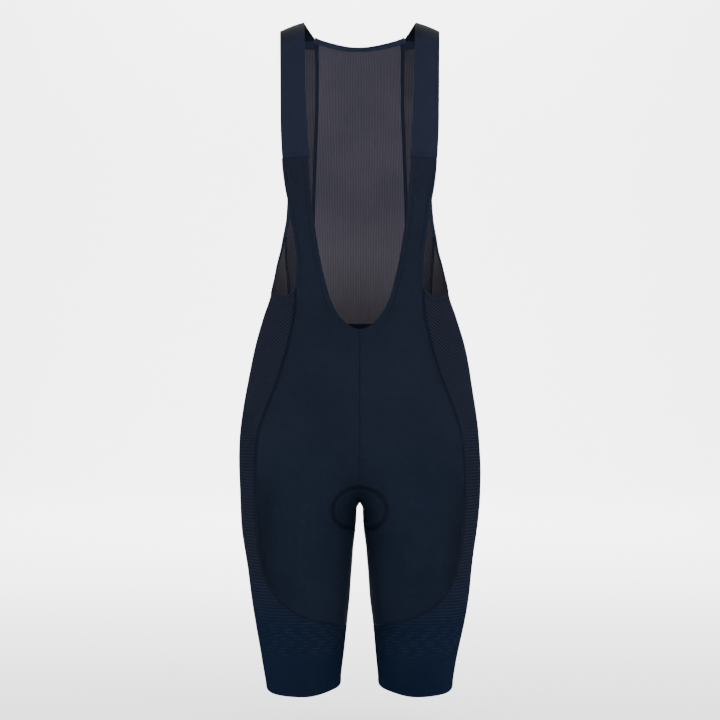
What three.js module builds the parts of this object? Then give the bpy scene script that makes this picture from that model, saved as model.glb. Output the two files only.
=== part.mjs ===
import * as THREE from 'three';

// Sizes are millimetres. Heights in the tables are above the outer side of the leg hem.
const SHOULDER_LEVEL = 921;
const SEAM_GAP = 0.4;
const SHORTS_CLOTH = 1.6;
const MESH_CLOTH = 1.2;
const BINDING_CLOTH = 2.2;
const STRAP_ELASTIC = 1.8;

// The general figure the garment is cut for, as sections across the body.
const FORM = [
  { height: -12, outer: 128, inner: 28, front: 57, back: 59 },
  { height: 3, outer: 130.2, inner: 27, front: 58, back: 60 },
  { height: 25, outer: 133.7, inner: 25.2, front: 59, back: 62 },
  { height: 48, outer: 137.6, inner: 23.1, front: 61, back: 65 },
  { height: 92, outer: 146, inner: 19.6, front: 66, back: 72 },
  { height: 137, outer: 154, inner: 14, front: 72, back: 79 },
  { height: 182, outer: 160, inner: 9.8, front: 78, back: 87 },
  { height: 227, outer: 165, inner: 6.6, front: 85, back: 96 },
  { height: 249, outer: 166.6, inner: 5.6, front: 88, back: 101 },
  { height: 259, outer: 167.3, inner: 1.9, front: 90, back: 103 },
  { height: 272, outer: 168, inner: 0, front: 91, back: 105 },
  { height: 305, outer: 169.4, inner: 0, front: 95, back: 110 },
  { height: 339, outer: 168, inner: 0, front: 98, back: 112 },
  { height: 384, outer: 163.8, inner: 0, front: 101, back: 108 },
  { height: 428, outer: 156.8, inner: 0, front: 100, back: 99 },
  { height: 473, outer: 147, inner: 0, front: 96, back: 88 },
  { height: 518, outer: 134.4, inner: 0, front: 92, back: 80 },
  { height: 550, outer: 124.5, inner: 0, front: 90, back: 77 },
  { height: 587, outer: 120, inner: 0, front: 89, back: 76 },
  { height: 634, outer: 122.5, inner: 0, front: 91, back: 79 },
  { height: 680, outer: 128, inner: 0, front: 95, back: 84 },
  { height: 731, outer: 131, inner: 0, front: 98, back: 89 },
  { height: 780, outer: 133, inner: 0, front: 98, back: 93 },
  { height: 830, outer: 132, inner: 0, front: 92, back: 94 },
  { height: 870, outer: 129, inner: 0, front: 78, back: 88 },
  { height: 890, outer: 127, inner: 0, front: 68, back: 79 },
  { height: 902, outer: 126, inner: 0, front: 60, back: 70 },
  { height: 915, outer: 124, inner: 0, front: 50, back: 57 },
];
const SQUARENESS = 2.3;
const LEG_JOIN_TOP = 350;
const LEG_JOIN_FOOT = 250;
const CROTCH_LEVEL = 259;
const CLEFT_ROUNDING = 8;
const CLEFT_RISE = 40;
const CENTRE_SHIFT_FOOT = 260;
const CENTRE_SHIFT_RISE = 200;
const BEYOND_BODY = 230;
const HALVINGS = 44;
const SLOPE_PROBE = 0.6;
const LEG_PANEL_FOOT = 86;
const WAIST_LEVEL = 508;
const CENTRE_LINE_POINTS = 240;
const SHARPEST_CORNER = 0.5;
const TOP_EDGE_FADE = 3;
const BOTTOM_EDGE_FADE = 4;
const SIDE_TOP_FADE = 4;
const SIDE_BOTTOM_FADE = 6;

// Seams and edges of the right half, as a reach from the centre line at a height.
const SCOOP_EDGE = [
  { reach: 69.6, height: 733, side: -1 },
  { reach: 68.3, height: 712, side: -1 },
  { reach: 66.3, height: 687.7, side: -1 },
  { reach: 65.2, height: 667.4, side: -1 },
  { reach: 62.4, height: 644.4, side: -1 },
  { reach: 58.9, height: 622.6, side: -1 },
  { reach: 55.7, height: 603.5, side: -1 },
  { reach: 51.8, height: 584.5, side: -1 },
  { reach: 46.6, height: 562.6, side: -1 },
  { reach: 40.4, height: 540.8, side: -1 },
  { reach: 33.6, height: 525.8, side: -1 },
  { reach: 25.4, height: 513.5, side: -1 },
  { reach: 15.9, height: 504.7, side: -1 },
  { reach: 7.8, height: 500.2, side: -1 },
  { reach: 0, height: 498.5, side: -1 },
];
const BIB_OUTER_EDGE = [
  { reach: 106.6, height: 733, side: -1 },
  { reach: 105.1, height: 714, side: -1 },
  { reach: 102.4, height: 692.1, side: -1 },
  { reach: 98.4, height: 670.1, side: -1 },
  { reach: 94.8, height: 645.5, side: -1 },
  { reach: 91, height: 623.5, side: -1 },
  { reach: 88.2, height: 601.6, side: -1 },
  { reach: 87.3, height: 582.4, side: -1 },
  { reach: 88, height: 556, side: -1 },
];
const FRONT_SEAM = [
  { reach: 88, height: 556, side: -1 },
  { reach: 88.6, height: 531.6, side: -1 },
  { reach: 90.5, height: 513.8, side: -1 },
  { reach: 94.5, height: 494.7, side: -1 },
  { reach: 99.9, height: 470.1, side: -1 },
  { reach: 109.5, height: 438.8, side: -1 },
  { reach: 118.5, height: 414.2, side: -1 },
  { reach: 128.9, height: 388.1, side: -1 },
  { reach: 136.9, height: 364.7, side: -1 },
  { reach: 141.2, height: 342.7, side: -1 },
  { reach: 142.9, height: 319.4, side: -1 },
  { reach: 143.1, height: 271.7, side: -1 },
  { reach: 142.2, height: 227.7, side: -1 },
  { reach: 138.9, height: 191.7, side: -1 },
  { reach: 130.6, height: 158.9, side: -1 },
];
const FRONT_KNEE_SEAM = [
  { reach: 130.6, height: 158.9, side: -1 },
  { reach: 116.7, height: 134.7, side: -1 },
  { reach: 98.2, height: 115.8, side: -1 },
  { reach: 79, height: 104.8, side: -1 },
  { reach: 58.6, height: 97.4, side: -1 },
  { reach: 40.9, height: 92.7, side: -1 },
  { reach: 27, height: 88.5, side: -1 },
];
const WEDGE_SEAM = [
  { reach: 106.5, height: 627, side: 1 },
  { reach: 105, height: 594.2, side: 1 },
  { reach: 101.8, height: 551.8, side: 1 },
  { reach: 100.2, height: 508, side: 1 },
];
const BACK_SEAM = [
  { reach: 100.2, height: 508, side: 1 },
  { reach: 102, height: 490, side: 1 },
  { reach: 105.5, height: 470, side: 1 },
  { reach: 113, height: 438.8, side: 1 },
  { reach: 121, height: 414.2, side: 1 },
  { reach: 130.5, height: 388.1, side: 1 },
  { reach: 137.5, height: 364.7, side: 1 },
  { reach: 141.5, height: 342.7, side: 1 },
  { reach: 143, height: 319.4, side: 1 },
  { reach: 143.1, height: 271.7, side: 1 },
  { reach: 142.2, height: 227.7, side: 1 },
  { reach: 138.9, height: 191.7, side: 1 },
  { reach: 130.6, height: 158.9, side: 1 },
];
const BACK_KNEE_SEAM = FRONT_KNEE_SEAM.map((stop) => ({ ...stop, side: 1 }));
const PRINCESS_SEAM = [
  { reach: 61.6, height: 900.8, side: 1 },
  { reach: 61.6, height: 877.4, side: 1 },
  { reach: 61.7, height: 836.7, side: 1 },
  { reach: 62.6, height: 799.2, side: 1 },
  { reach: 64.7, height: 751.4, side: 1 },
  { reach: 65.9, height: 709.3, side: 1 },
  { reach: 67.1, height: 665.9, side: 1 },
  { reach: 68.2, height: 600, side: 1 },
  { reach: 69, height: 508, side: 1 },
];

// The armhole, from the back end of the strap down the back edge and round to the bib.
const ARMHOLE_BACK = [
  { reach: 98.2, depth: 49, height: 900.8, binding: 5.4 },
  { reach: 99.5, depth: 61, height: 850, binding: 5.4 },
  { reach: 101, depth: 64, height: 800, binding: 5.4 },
  { reach: 102, depth: 62, height: 750, binding: 5.4 },
  { reach: 103, depth: 58.5, height: 705, binding: 5.4 },
  { reach: 103.7, depth: 55.1, height: 677.5, binding: 5.4 },
  { reach: 105, depth: 50.2, height: 655.8, binding: 5 },
  { reach: 108.6, depth: 42, height: 632.5, binding: 4.4 },
];
const ARMHOLE_WEDGE = [
  { reach: 108.6, depth: 42, height: 632.5, binding: 4.4 },
  { reach: 112.9, depth: 33.1, height: 609.4, binding: 3.8 },
  { reach: 117.8, depth: 18.4, height: 586.1, binding: 3.1 },
  { reach: 121, depth: 9, height: 569.5, binding: 2.3 },
];
const ARMHOLE_FOOT = [
  { reach: 121, depth: 9, height: 569.5, binding: 2.3 },
  { reach: 122.4, depth: 0, height: 559.5, binding: 0 },
  { reach: 121.5, depth: -14, height: 553, binding: 0 },
  { reach: 117.5, depth: -28, height: 549.4, binding: 0 },
  { reach: 110.5, depth: -46, height: 546.2, binding: 0 },
  { reach: 102.6, depth: -57, height: 545.2, binding: 0 },
  { reach: 93.5, depth: -65.5, height: 550, binding: 0 },
  { reach: 88, depth: -68, height: 556, binding: 0 },
];

// The leg hem, by its turn round the leg from the inseam by the front to the inseam again.
const LEG_HEM = [
  { turn: -1, height: 5 },
  { turn: -0.75, height: 0 },
  { turn: -0.5, height: -7 },
  { turn: -0.25, height: -5 },
  { turn: 0, height: -1 },
  { turn: 0.25, height: -4 },
  { turn: 0.5, height: -6 },
  { turn: 0.75, height: 0 },
  { turn: 1, height: 5 },
];
const NECK_EDGE = [
  { reach: 61.6, height: 909.8 },
  { reach: 52, height: 907 },
  { reach: 42, height: 904.5 },
  { reach: 28, height: 901.7 },
  { reach: 14, height: 900 },
  { reach: 0, height: 899.4 },
];
const NECK_BINDING_WIDTH = 4.6;

// The shoulder strap, as its two edges from the bib over the shoulder to the back.
const STRAP_PATH = [
  { innerX: 69.8, innerY: -87, innerZ: 733.5, outerX: 106.5, outerY: -64.3, outerZ: 733.5, crown: 2.5 },
  { innerX: 71.1, innerY: -87.1, innerZ: 770, outerX: 108.5, outerY: -63.9, outerZ: 770, crown: 2.4 },
  { innerX: 74.2, innerY: -81.4, innerZ: 823, outerX: 109.3, outerY: -59.2, outerZ: 822, crown: 2.2 },
  { innerX: 75, innerY: -69, innerZ: 866, outerX: 109.9, outerY: -48.3, outerZ: 862, crown: 1.8 },
  { innerX: 75.6, innerY: -58, innerZ: 890, outerX: 110.3, outerY: -40, outerZ: 884, crown: 1.5 },
  { innerX: 76.3, innerY: -43, innerZ: 911, outerX: 110.8, outerY: -28, outerZ: 901, crown: 1.2 },
  { innerX: 77.2, innerY: -22, innerZ: 924.5, outerX: 111.4, outerY: -12, outerZ: 913, crown: 1 },
  { innerX: 78, innerY: 2, innerZ: 929, outerX: 111.6, outerY: 5, outerZ: 917, crown: 1 },
  { innerX: 74.5, innerY: 26, innerZ: 926.5, outerX: 109.5, outerY: 22, outerZ: 916, crown: 1.2 },
  { innerX: 69.5, innerY: 42, innerZ: 920.5, outerX: 105.5, outerY: 35, outerZ: 911.5, crown: 1.5 },
  { innerX: 63.8, innerY: 54.5, innerZ: 913, outerX: 100.5, outerY: 44, outerZ: 906.5, crown: 1.8 },
  { innerX: 62.4, innerY: 63.6, innerZ: 901.3, outerX: 98, outerY: 49.3, outerZ: 901.3, crown: 2.1 },
];

// How many steps each run of edge is divided into.
const STEPS = {
  bib: 9, scoopFoot: 4, centreFront: 10, inseam: 7, seam: 21, wedge: 5, backSeam: 16, centreBack: 9,
  panelAcross: 10, cuff: 4, meshCentreHalf: 6, meshSide: 4, armholeBack: 9, armholeWedge: 7, armholeFoot: 13,
  strap: 24, strapWidth: 4,
};

function ease(share) {
  const held = Math.min(1, Math.max(0, share));
  return held * held * (3 - 2 * held);
}

// A curve through table values that never swings past them.
function steady(places, values) {
  const slopes = [];
  for (let index = 0; index + 1 < places.length; index += 1) {
    slopes.push((values[index + 1] - values[index]) / (places[index + 1] - places[index]));
  }
  const leans = places.map((place, index) => {
    if (index === 0) return slopes[0];
    if (index === places.length - 1) return slopes[index - 1];
    const before = slopes[index - 1];
    const after = slopes[index];
    if (before * after <= 0) return 0;
    const spanBefore = places[index] - places[index - 1];
    const spanAfter = places[index + 1] - places[index];
    const total = 3 * (spanBefore + spanAfter);
    return total / ((2 * spanAfter + spanBefore) / before + (spanAfter + 2 * spanBefore) / after);
  });
  return (asked) => {
    const place = Math.min(places[places.length - 1], Math.max(places[0], asked));
    let index = 0;
    while (index + 2 < places.length && place > places[index + 1]) index += 1;
    const span = places[index + 1] - places[index];
    const share = (place - places[index]) / span;
    const rest = 1 - share;
    return (1 + 2 * share) * rest * rest * values[index]
      + share * rest * rest * span * leans[index]
      + share * share * (3 - 2 * share) * values[index + 1]
      - share * share * rest * span * leans[index + 1];
  };
}

const formColumn = (name) => steady(FORM.map((row) => row.height), FORM.map((row) => row[name]));
const outerReach = formColumn('outer');
const innerReach = formColumn('inner');
const frontReach = formColumn('front');
const backReach = formColumn('back');
const legMiddle = (height) => (outerReach(height) + innerReach(height)) / 2;
const depthMiddle = (height) => (backReach(height) - frontReach(height)) / 2;
const centreX = (height) => (
  legMiddle(height) * (1 - ease((height - CENTRE_SHIFT_FOOT) / CENTRE_SHIFT_RISE))
);

function rounded(across, along) {
  const sum = Math.abs(across) ** SQUARENESS + Math.abs(along) ** SQUARENESS;
  return sum ** (1 / SQUARENESS);
}

// Below zero inside the body, above zero outside it.
function beyondForm(x, y, height) {
  const rounding = CLEFT_ROUNDING * ease((height - CROTCH_LEVEL) / CLEFT_RISE);
  const side = Math.hypot(x, rounding);
  const reach = outerReach(height);
  const ahead = frontReach(height);
  const behind = backReach(height);
  const torso = rounded(side / reach, y / (y < 0 ? ahead : behind)) - 1;
  const legHalf = (reach - innerReach(height)) / 2;
  const legDepth = (ahead + behind) / 2;
  const leg = rounded((side - legMiddle(height)) / legHalf, (y - depthMiddle(height)) / legDepth) - 1;
  const legShare = ease((LEG_JOIN_TOP - height) / (LEG_JOIN_TOP - LEG_JOIN_FOOT));
  return (1 - legShare) * torso + legShare * leg;
}

function edgeAlong(startX, startY, stepX, stepY, height) {
  let near = 0;
  let far = stepX < 0 && startX > 1 ? Math.min(BEYOND_BODY, -startX / stepX) : BEYOND_BODY;
  for (let turn = 0; turn < HALVINGS; turn += 1) {
    const middle = (near + far) / 2;
    if (beyondForm(startX + stepX * middle, startY + stepY * middle, height) < 0) near = middle;
    else far = middle;
  }
  return near;
}

// The angle at which the centre line or the inseam lies, on the front or the back.
function lastAngle(height, side) {
  if (height <= CROTCH_LEVEL) return Math.PI;
  const startX = centreX(height);
  if (startX === 0) return Math.PI / 2;
  const startY = depthMiddle(height);
  return Math.atan2(edgeAlong(0, startY, 0, side, height), -startX);
}

// A place on the cloth is a turn and a height. The turn runs from -1 at the centre front or
// inseam, through 0 at the side, to 1 at the centre back or inseam.
function onForm(place) {
  const startX = centreX(place.height);
  const startY = depthMiddle(place.height);
  const angle = place.turn * lastAngle(place.height, place.turn < 0 ? -1 : 1);
  const stepX = Math.cos(angle);
  const stepY = Math.sin(angle);
  const reach = edgeAlong(startX, startY, stepX, stepY, place.height);
  return new THREE.Vector3(startX + stepX * reach, startY + stepY * reach, place.height);
}

function placeOf(point) {
  const angle = Math.atan2(point.y - depthMiddle(point.z), point.x - centreX(point.z));
  return { turn: angle / lastAngle(point.z, angle < 0 ? -1 : 1), height: point.z };
}

function outward(point) {
  const { x, y, z } = point;
  return new THREE.Vector3(
    beyondForm(x + SLOPE_PROBE, y, z) - beyondForm(x - SLOPE_PROBE, y, z),
    beyondForm(x, y + SLOPE_PROBE, z) - beyondForm(x, y - SLOPE_PROBE, z),
    beyondForm(x, y, z + SLOPE_PROBE) - beyondForm(x, y, z - SLOPE_PROBE),
  ).normalize();
}

// Turns a table row into a place: by its side of the body, or by the depth it names.
function placeOfStop(stop) {
  if (stop.depth !== undefined) {
    return placeOf(new THREE.Vector3(stop.reach, stop.depth, stop.height));
  }
  const startY = depthMiddle(stop.height);
  const reach = edgeAlong(stop.reach, startY, 0, stop.side, stop.height);
  return placeOf(new THREE.Vector3(stop.reach, startY + stop.side * reach, stop.height));
}

const CURVE_POINTS_PER_STOP = 12;

function smoothRun(places) {
  const knots = places.map((place) => onForm(place));
  const curve = new THREE.CatmullRomCurve3(knots, false, 'centripetal');
  const count = CURVE_POINTS_PER_STOP * (places.length - 1);
  return curve.getPoints(count).map(placeOf);
}

// Shares a run of places into steps of equal length on the cloth.
function divide(places, steps) {
  const points = places.map(onForm);
  const lengths = [0];
  for (let index = 1; index < points.length; index += 1) {
    lengths.push(lengths[index - 1] + points[index].distanceTo(points[index - 1]));
  }
  const total = lengths[lengths.length - 1];
  const result = [];
  let index = 1;
  for (let step = 0; step <= steps; step += 1) {
    const wanted = (total * step) / steps;
    while (index < points.length - 1 && lengths[index] < wanted) index += 1;
    const share = (wanted - lengths[index - 1]) / (lengths[index] - lengths[index - 1]);
    const before = places[index - 1];
    const after = places[index];
    result.push({
      turn: before.turn + (after.turn - before.turn) * share,
      height: before.height + (after.height - before.height) * share,
    });
  }
  return result;
}

const tableRun = (table, steps) => divide(smoothRun(table.map(placeOfStop)), steps);

// The centre line of the body on its front or back, down to the crotch.
function centreRun(topHeight, side, steps) {
  const places = [];
  for (let index = 0; index <= CENTRE_LINE_POINTS; index += 1) {
    const share = 1 - index / CENTRE_LINE_POINTS;
    places.push({ turn: side, height: CROTCH_LEVEL + (topHeight - CROTCH_LEVEL) * share * share });
  }
  return divide(places, steps);
}

function inseamRun(fromHeight, toHeight, side, steps) {
  const places = [];
  for (let index = 0; index <= steps; index += 1) {
    places.push({ turn: side, height: fromHeight + ((toHeight - fromHeight) * index) / steps });
  }
  return places;
}

const joined = (...runs) => runs.reduce((all, run) => all.concat(run.slice(1)));
const reversed = (run) => [...run].reverse();

// Moves a closed loop of places towards the inside of its panel.
function insetLoop(loop, distance) {
  const points = loop.map(onForm);
  const count = points.length;
  return points.map((point, index) => {
    const before = points[(index + count - 1) % count];
    const after = points[(index + 1) % count];
    const away = outward(point);
    const arriving = point.clone().sub(before).cross(away).normalize();
    const leaving = after.clone().sub(point).cross(away).normalize();
    const inwards = arriving.clone().add(leaving).normalize();
    const reach = distance / Math.max(SHARPEST_CORNER, inwards.dot(leaving));
    const place = placeOf(point.addScaledVector(inwards, reach));
    if (place.turn - loop[index].turn > 1) place.turn -= 2;
    if (place.turn - loop[index].turn < -1) place.turn += 2;
    return place;
  });
}

// Fills four edge runs with a net of places. Left and right run down, top and bottom run across.
function fillNet(edges) {
  const across = edges.top.length - 1;
  const down = edges.left.length - 1;
  const loop = [
    ...edges.top.slice(0, -1),
    ...edges.right.slice(0, -1),
    ...reversed(edges.bottom).slice(0, -1),
    ...reversed(edges.left).slice(0, -1),
  ];
  const moved = insetLoop(loop, SEAM_GAP / 2);
  const top = moved.slice(0, across + 1);
  const right = moved.slice(across, across + down + 1);
  const bottom = reversed(moved.slice(across + down, across * 2 + down + 1));
  const left = reversed([...moved.slice(across * 2 + down), moved[0]]);
  const topFade = edges.topFade ?? TOP_EDGE_FADE;
  const bottomFade = edges.bottomFade ?? BOTTOM_EDGE_FADE;
  const rows = [];
  for (let row = 0; row <= down; row += 1) {
    const share = row / down;
    const topPull = (1 - share) ** topFade;
    const bottomPull = share ** bottomFade;
    const line = [];
    for (let column = 0; column <= across; column += 1) {
      const over = column / across;
      const blend = (name) => {
        const level = left[row][name] * (1 - over) + right[row][name] * over;
        const topChord = top[0][name] * (1 - over) + top[across][name] * over;
        const topBow = top[column][name] - topChord;
        const bottomChord = bottom[0][name] * (1 - over) + bottom[across][name] * over;
        const bottomBow = bottom[column][name] - bottomChord;
        return level + topPull * topBow + bottomPull * bottomBow;
      };
      line.push({ turn: blend('turn'), height: blend('height') });
    }
    rows.push(line);
  }
  return rows;
}

// Closes a net of face points and lining points into one solid wall.
function wallSolid(face, lining) {
  const down = face.length;
  const across = face[0].length;
  const positions = [];
  [face, lining].forEach((net) => net.forEach((line) => line.forEach((point) => {
    positions.push(point.x, point.y, point.z - SHOULDER_LEVEL);
  })));
  const outer = (row, column) => row * across + column;
  const inner = (row, column) => down * across + row * across + column;
  const faces = [];
  const quad = (a, b, c, d) => faces.push(a, b, c, a, c, d);
  for (let row = 0; row + 1 < down; row += 1) {
    for (let column = 0; column + 1 < across; column += 1) {
      quad(outer(row, column), outer(row + 1, column), outer(row + 1, column + 1), outer(row, column + 1));
      quad(inner(row, column), inner(row, column + 1), inner(row + 1, column + 1), inner(row + 1, column));
    }
    const last = across - 1;
    quad(outer(row, 0), inner(row, 0), inner(row + 1, 0), outer(row + 1, 0));
    quad(outer(row, last), outer(row + 1, last), inner(row + 1, last), inner(row, last));
  }
  for (let column = 0; column + 1 < across; column += 1) {
    const last = down - 1;
    quad(outer(0, column), outer(0, column + 1), inner(0, column + 1), inner(0, column));
    quad(outer(last, column), inner(last, column), inner(last, column + 1), outer(last, column + 1));
  }
  const geometry = new THREE.BufferGeometry();
  geometry.setAttribute('position', new THREE.Float32BufferAttribute(positions, 3));
  geometry.setIndex(faces);
  geometry.computeVertexNormals();
  return geometry;
}

function liningOf(face, thickness) {
  return face.map((line) => line.map((point) => (
    point.clone().addScaledVector(outward(point), -thickness)
  )));
}

function panelSolid(edges, thickness) {
  const face = fillNet(edges).map((line) => line.map(onForm));
  return wallSolid(face, liningOf(face, thickness));
}

function mirrored(geometry) {
  const copy = geometry.clone();
  const position = copy.getAttribute('position');
  for (let index = 0; index < position.count; index += 1) position.setX(index, -position.getX(index));
  const order = Array.from(copy.getIndex().array);
  for (let index = 0; index < order.length; index += 3) {
    [order[index], order[index + 1]] = [order[index + 1], order[index]];
  }
  copy.setIndex(order);
  copy.computeVertexNormals();
  return copy;
}

// Shared runs of seam, so that both panels at a seam use the same points.
const bibEdge = tableRun(BIB_OUTER_EDGE, STEPS.bib);
const frontSeam = tableRun(FRONT_SEAM, STEPS.seam);
const kneeRun = (table, side) => divide(
  smoothRun([...table.map(placeOfStop), { turn: side, height: LEG_PANEL_FOOT }])
    .map((place) => ({ ...place, turn: side * Math.abs(place.turn) })),
  STEPS.panelAcross,
);
const frontKnee = kneeRun(FRONT_KNEE_SEAM, -1);
const backKnee = kneeRun(BACK_KNEE_SEAM, 1);
const wedgeSeam = tableRun(WEDGE_SEAM, STEPS.wedge);
const backSeam = tableRun(BACK_SEAM, STEPS.backSeam);
const princessSeam = tableRun(PRINCESS_SEAM, STEPS.armholeBack + STEPS.wedge);

const scoop = tableRun(SCOOP_EDGE, STEPS.bib + STEPS.scoopFoot);
const centreFront = centreRun(SCOOP_EDGE[SCOOP_EDGE.length - 1].height, -1, STEPS.centreFront);
const centreBack = centreRun(WAIST_LEVEL, 1, STEPS.centreBack);
const frontInseam = inseamRun(CROTCH_LEVEL, LEG_PANEL_FOOT, -1, STEPS.inseam);
const backInseam = inseamRun(CROTCH_LEVEL, LEG_PANEL_FOOT, 1, STEPS.inseam);

function straightRun(start, end, steps) {
  const places = [];
  for (let index = 0; index <= steps; index += 1) {
    const share = index / steps;
    places.push({
      turn: start.turn * (1 - share) + end.turn * share,
      height: start.height * (1 - share) + end.height * share,
    });
  }
  return places;
}

const bibTop = straightRun(scoop[0], bibEdge[0], STEPS.panelAcross);
const front = panelSolid({
  top: bibTop,
  right: joined(bibEdge, frontSeam),
  bottom: reversed(frontKnee),
  left: joined(scoop, centreFront, frontInseam),
}, SHORTS_CLOTH);

// Waist seam across the back, from the side panel in to the centre line.
const waistSide = straightRun(backSeam[0], princessSeam[princessSeam.length - 1], STEPS.meshSide);
const waistCentre = straightRun(waistSide[STEPS.meshSide], centreBack[0], STEPS.meshCentreHalf);
const back = panelSolid({
  top: joined(waistSide, waistCentre),
  right: joined(centreBack, backInseam),
  bottom: backKnee,
  left: backSeam,
}, SHORTS_CLOTH);

// The armhole edge with its binding, as the free edge and the edge of the cloth it is sewn to.
function armholeRun(table, steps) {
  const free = tableRun(table, steps);
  const widthAt = steady(table.map((stop) => -stop.height), table.map((stop) => stop.binding));
  const cloth = free.map((place, index) => {
    const point = onForm(place);
    const before = onForm(free[Math.max(0, index - 1)]);
    const after = onForm(free[Math.min(steps, index + 1)]);
    const side = after.sub(before).cross(outward(point)).normalize();
    return placeOf(point.addScaledVector(side, -widthAt(-place.height)));
  });
  return { free, cloth };
}
const armholeBack = armholeRun(ARMHOLE_BACK, STEPS.armholeBack);
const armholeWedge = armholeRun(ARMHOLE_WEDGE, STEPS.armholeWedge);
const meetPlace = armholeBack.cloth[STEPS.armholeBack];
armholeWedge.cloth[0] = meetPlace;
wedgeSeam[0] = meetPlace;
const armholeFoot = tableRun(ARMHOLE_FOOT, STEPS.armholeFoot);
armholeFoot[0] = armholeWedge.cloth[STEPS.armholeWedge];
armholeFoot[STEPS.armholeFoot] = frontSeam[0];

const hemHeight = steady(LEG_HEM.map((stop) => stop.turn), LEG_HEM.map((stop) => stop.height));
const aroundSteps = STEPS.armholeWedge + STEPS.armholeFoot;
const hem = [];
for (let index = 0; index <= aroundSteps; index += 1) {
  const turn = -1 + (2 * index) / aroundSteps;
  hem.push({ turn, height: hemHeight(turn) });
}
const side = panelSolid({
  top: reversed(joined(armholeWedge.cloth, armholeFoot)),
  right: joined(
    wedgeSeam,
    backSeam,
    backKnee,
    inseamRun(LEG_PANEL_FOOT, hem[aroundSteps].height, 1, STEPS.cuff),
  ),
  bottom: hem,
  left: joined(frontSeam, frontKnee, inseamRun(LEG_PANEL_FOOT, hem[0].height, -1, STEPS.cuff)),
  topFade: SIDE_TOP_FADE,
  bottomFade: SIDE_BOTTOM_FADE,
}, SHORTS_CLOTH);

// The back mesh: one middle panel and a narrow one under each strap end.
const strapSeam = straightRun(armholeBack.cloth[0], princessSeam[0], STEPS.meshSide);
const meshSide = panelSolid({
  top: strapSeam,
  right: princessSeam,
  bottom: waistSide,
  left: joined(armholeBack.cloth, wedgeSeam),
}, MESH_CLOTH);

const neckHalf = tableRun(NECK_EDGE.map((stop) => ({ ...stop, side: 1 })), STEPS.meshCentreHalf);
const meshHalfNet = fillNet({
  top: neckHalf,
  right: straightRun(neckHalf[STEPS.meshCentreHalf], centreBack[0], STEPS.armholeBack + STEPS.wedge + 1),
  bottom: waistCentre,
  left: joined([neckHalf[0], princessSeam[0]], princessSeam),
});

// Both halves of a net that meets the centre line, as one net from side to side.
function acrossCentre(net, thickness) {
  const face = net.map((line) => line.map(onForm));
  const lining = liningOf(face, thickness);
  const widen = (lines) => lines.map((line) => {
    const half = line.slice(0, -1);
    const middle = line[line.length - 1].clone().setX(0);
    const far = reversed(half).map((point) => new THREE.Vector3(-point.x, point.y, point.z));
    return [...half, middle, ...far];
  });
  return wallSolid(widen(face), widen(lining));
}
const meshCentre = acrossCentre(meshHalfNet, MESH_CLOTH);

const neckTop = neckHalf.map((place) => ({ ...place, height: place.height + NECK_BINDING_WIDTH }));
const neckBinding = acrossCentre(fillNet({
  top: neckTop,
  right: [neckTop[STEPS.meshCentreHalf], neckHalf[STEPS.meshCentreHalf]],
  bottom: neckHalf,
  left: [neckTop[0], neckHalf[0]],
}), BINDING_CLOTH);

const bindingFree = joined(armholeBack.free, armholeWedge.free);
const bindingCloth = joined(armholeBack.cloth, armholeWedge.cloth);
const bindingEnd = bindingFree.length - 1;
const armholeBinding = panelSolid({
  top: [bindingFree[0], bindingCloth[0]],
  right: bindingCloth,
  bottom: [bindingFree[bindingEnd], bindingCloth[bindingEnd]],
  left: bindingFree,
}, BINDING_CLOTH);

// The elastic strap is a ribbon between two edge curves, slightly crowned across.
function strapSolid() {
  const edgeCurve = (name) => new THREE.CatmullRomCurve3(
    STRAP_PATH.map((stop) => new THREE.Vector3(stop[`${name}X`], stop[`${name}Y`], stop[`${name}Z`])),
    false,
    'centripetal',
  );
  const innerEdge = edgeCurve('inner');
  const outerEdge = edgeCurve('outer');
  const stations = STRAP_PATH.map((stop, index) => index / (STRAP_PATH.length - 1));
  const crownAt = steady(stations, STRAP_PATH.map((stop) => stop.crown));
  const face = [];
  const lining = [];
  for (let row = 0; row <= STEPS.strap; row += 1) {
    const share = row / STEPS.strap;
    const inner = innerEdge.getPoint(share);
    const outer = outerEdge.getPoint(share);
    const along = innerEdge.getTangent(share).add(outerEdge.getTangent(share)).normalize();
    const across = outer.clone().sub(inner).normalize();
    const away = across.clone().cross(along).normalize();
    const faceLine = [];
    const liningLine = [];
    for (let column = 0; column <= STEPS.strapWidth; column += 1) {
      const over = column / STEPS.strapWidth;
      const lift = crownAt(share) * 4 * over * (1 - over);
      const point = inner.clone().lerp(outer, over).addScaledVector(away, lift);
      faceLine.push(point);
      liningLine.push(point.clone().addScaledVector(away, -STRAP_ELASTIC));
    }
    face.push(faceLine);
    lining.push(liningLine);
  }
  return wallSolid(reversed(face), reversed(lining));
}

const CLOTH_COLOURS = {
  front: 0x1b2436, side: 0x1e2a40, back: 0x1b2436, mesh: 0x47434d, binding: 0x10141f, strap: 0x161c2a,
};

const garment = new THREE.Group();
garment.name = 'cycling_bib_shorts';

function addPiece(name, geometry, colour) {
  const piece = new THREE.Mesh(geometry, new THREE.MeshStandardMaterial({ color: colour, roughness: 0.85 }));
  piece.name = name;
  garment.add(piece);
}

function addPair(name, geometry, colour) {
  addPiece(`${name}_right`, geometry, colour);
  addPiece(`${name}_left`, mirrored(geometry), colour);
}

addPair('front_panel', front, CLOTH_COLOURS.front);
addPair('side_panel', side, CLOTH_COLOURS.side);
addPair('back_panel', back, CLOTH_COLOURS.back);
addPair('back_mesh_side', meshSide, CLOTH_COLOURS.mesh);
addPiece('back_mesh_center', meshCentre, CLOTH_COLOURS.mesh);
addPiece('neck_binding', neckBinding, CLOTH_COLOURS.binding);
addPair('armhole_binding', armholeBinding, CLOTH_COLOURS.binding);
addPair('shoulder_strap', strapSolid(), CLOTH_COLOURS.strap);

export default garment;
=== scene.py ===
import math
from functools import partialmethod

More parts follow.
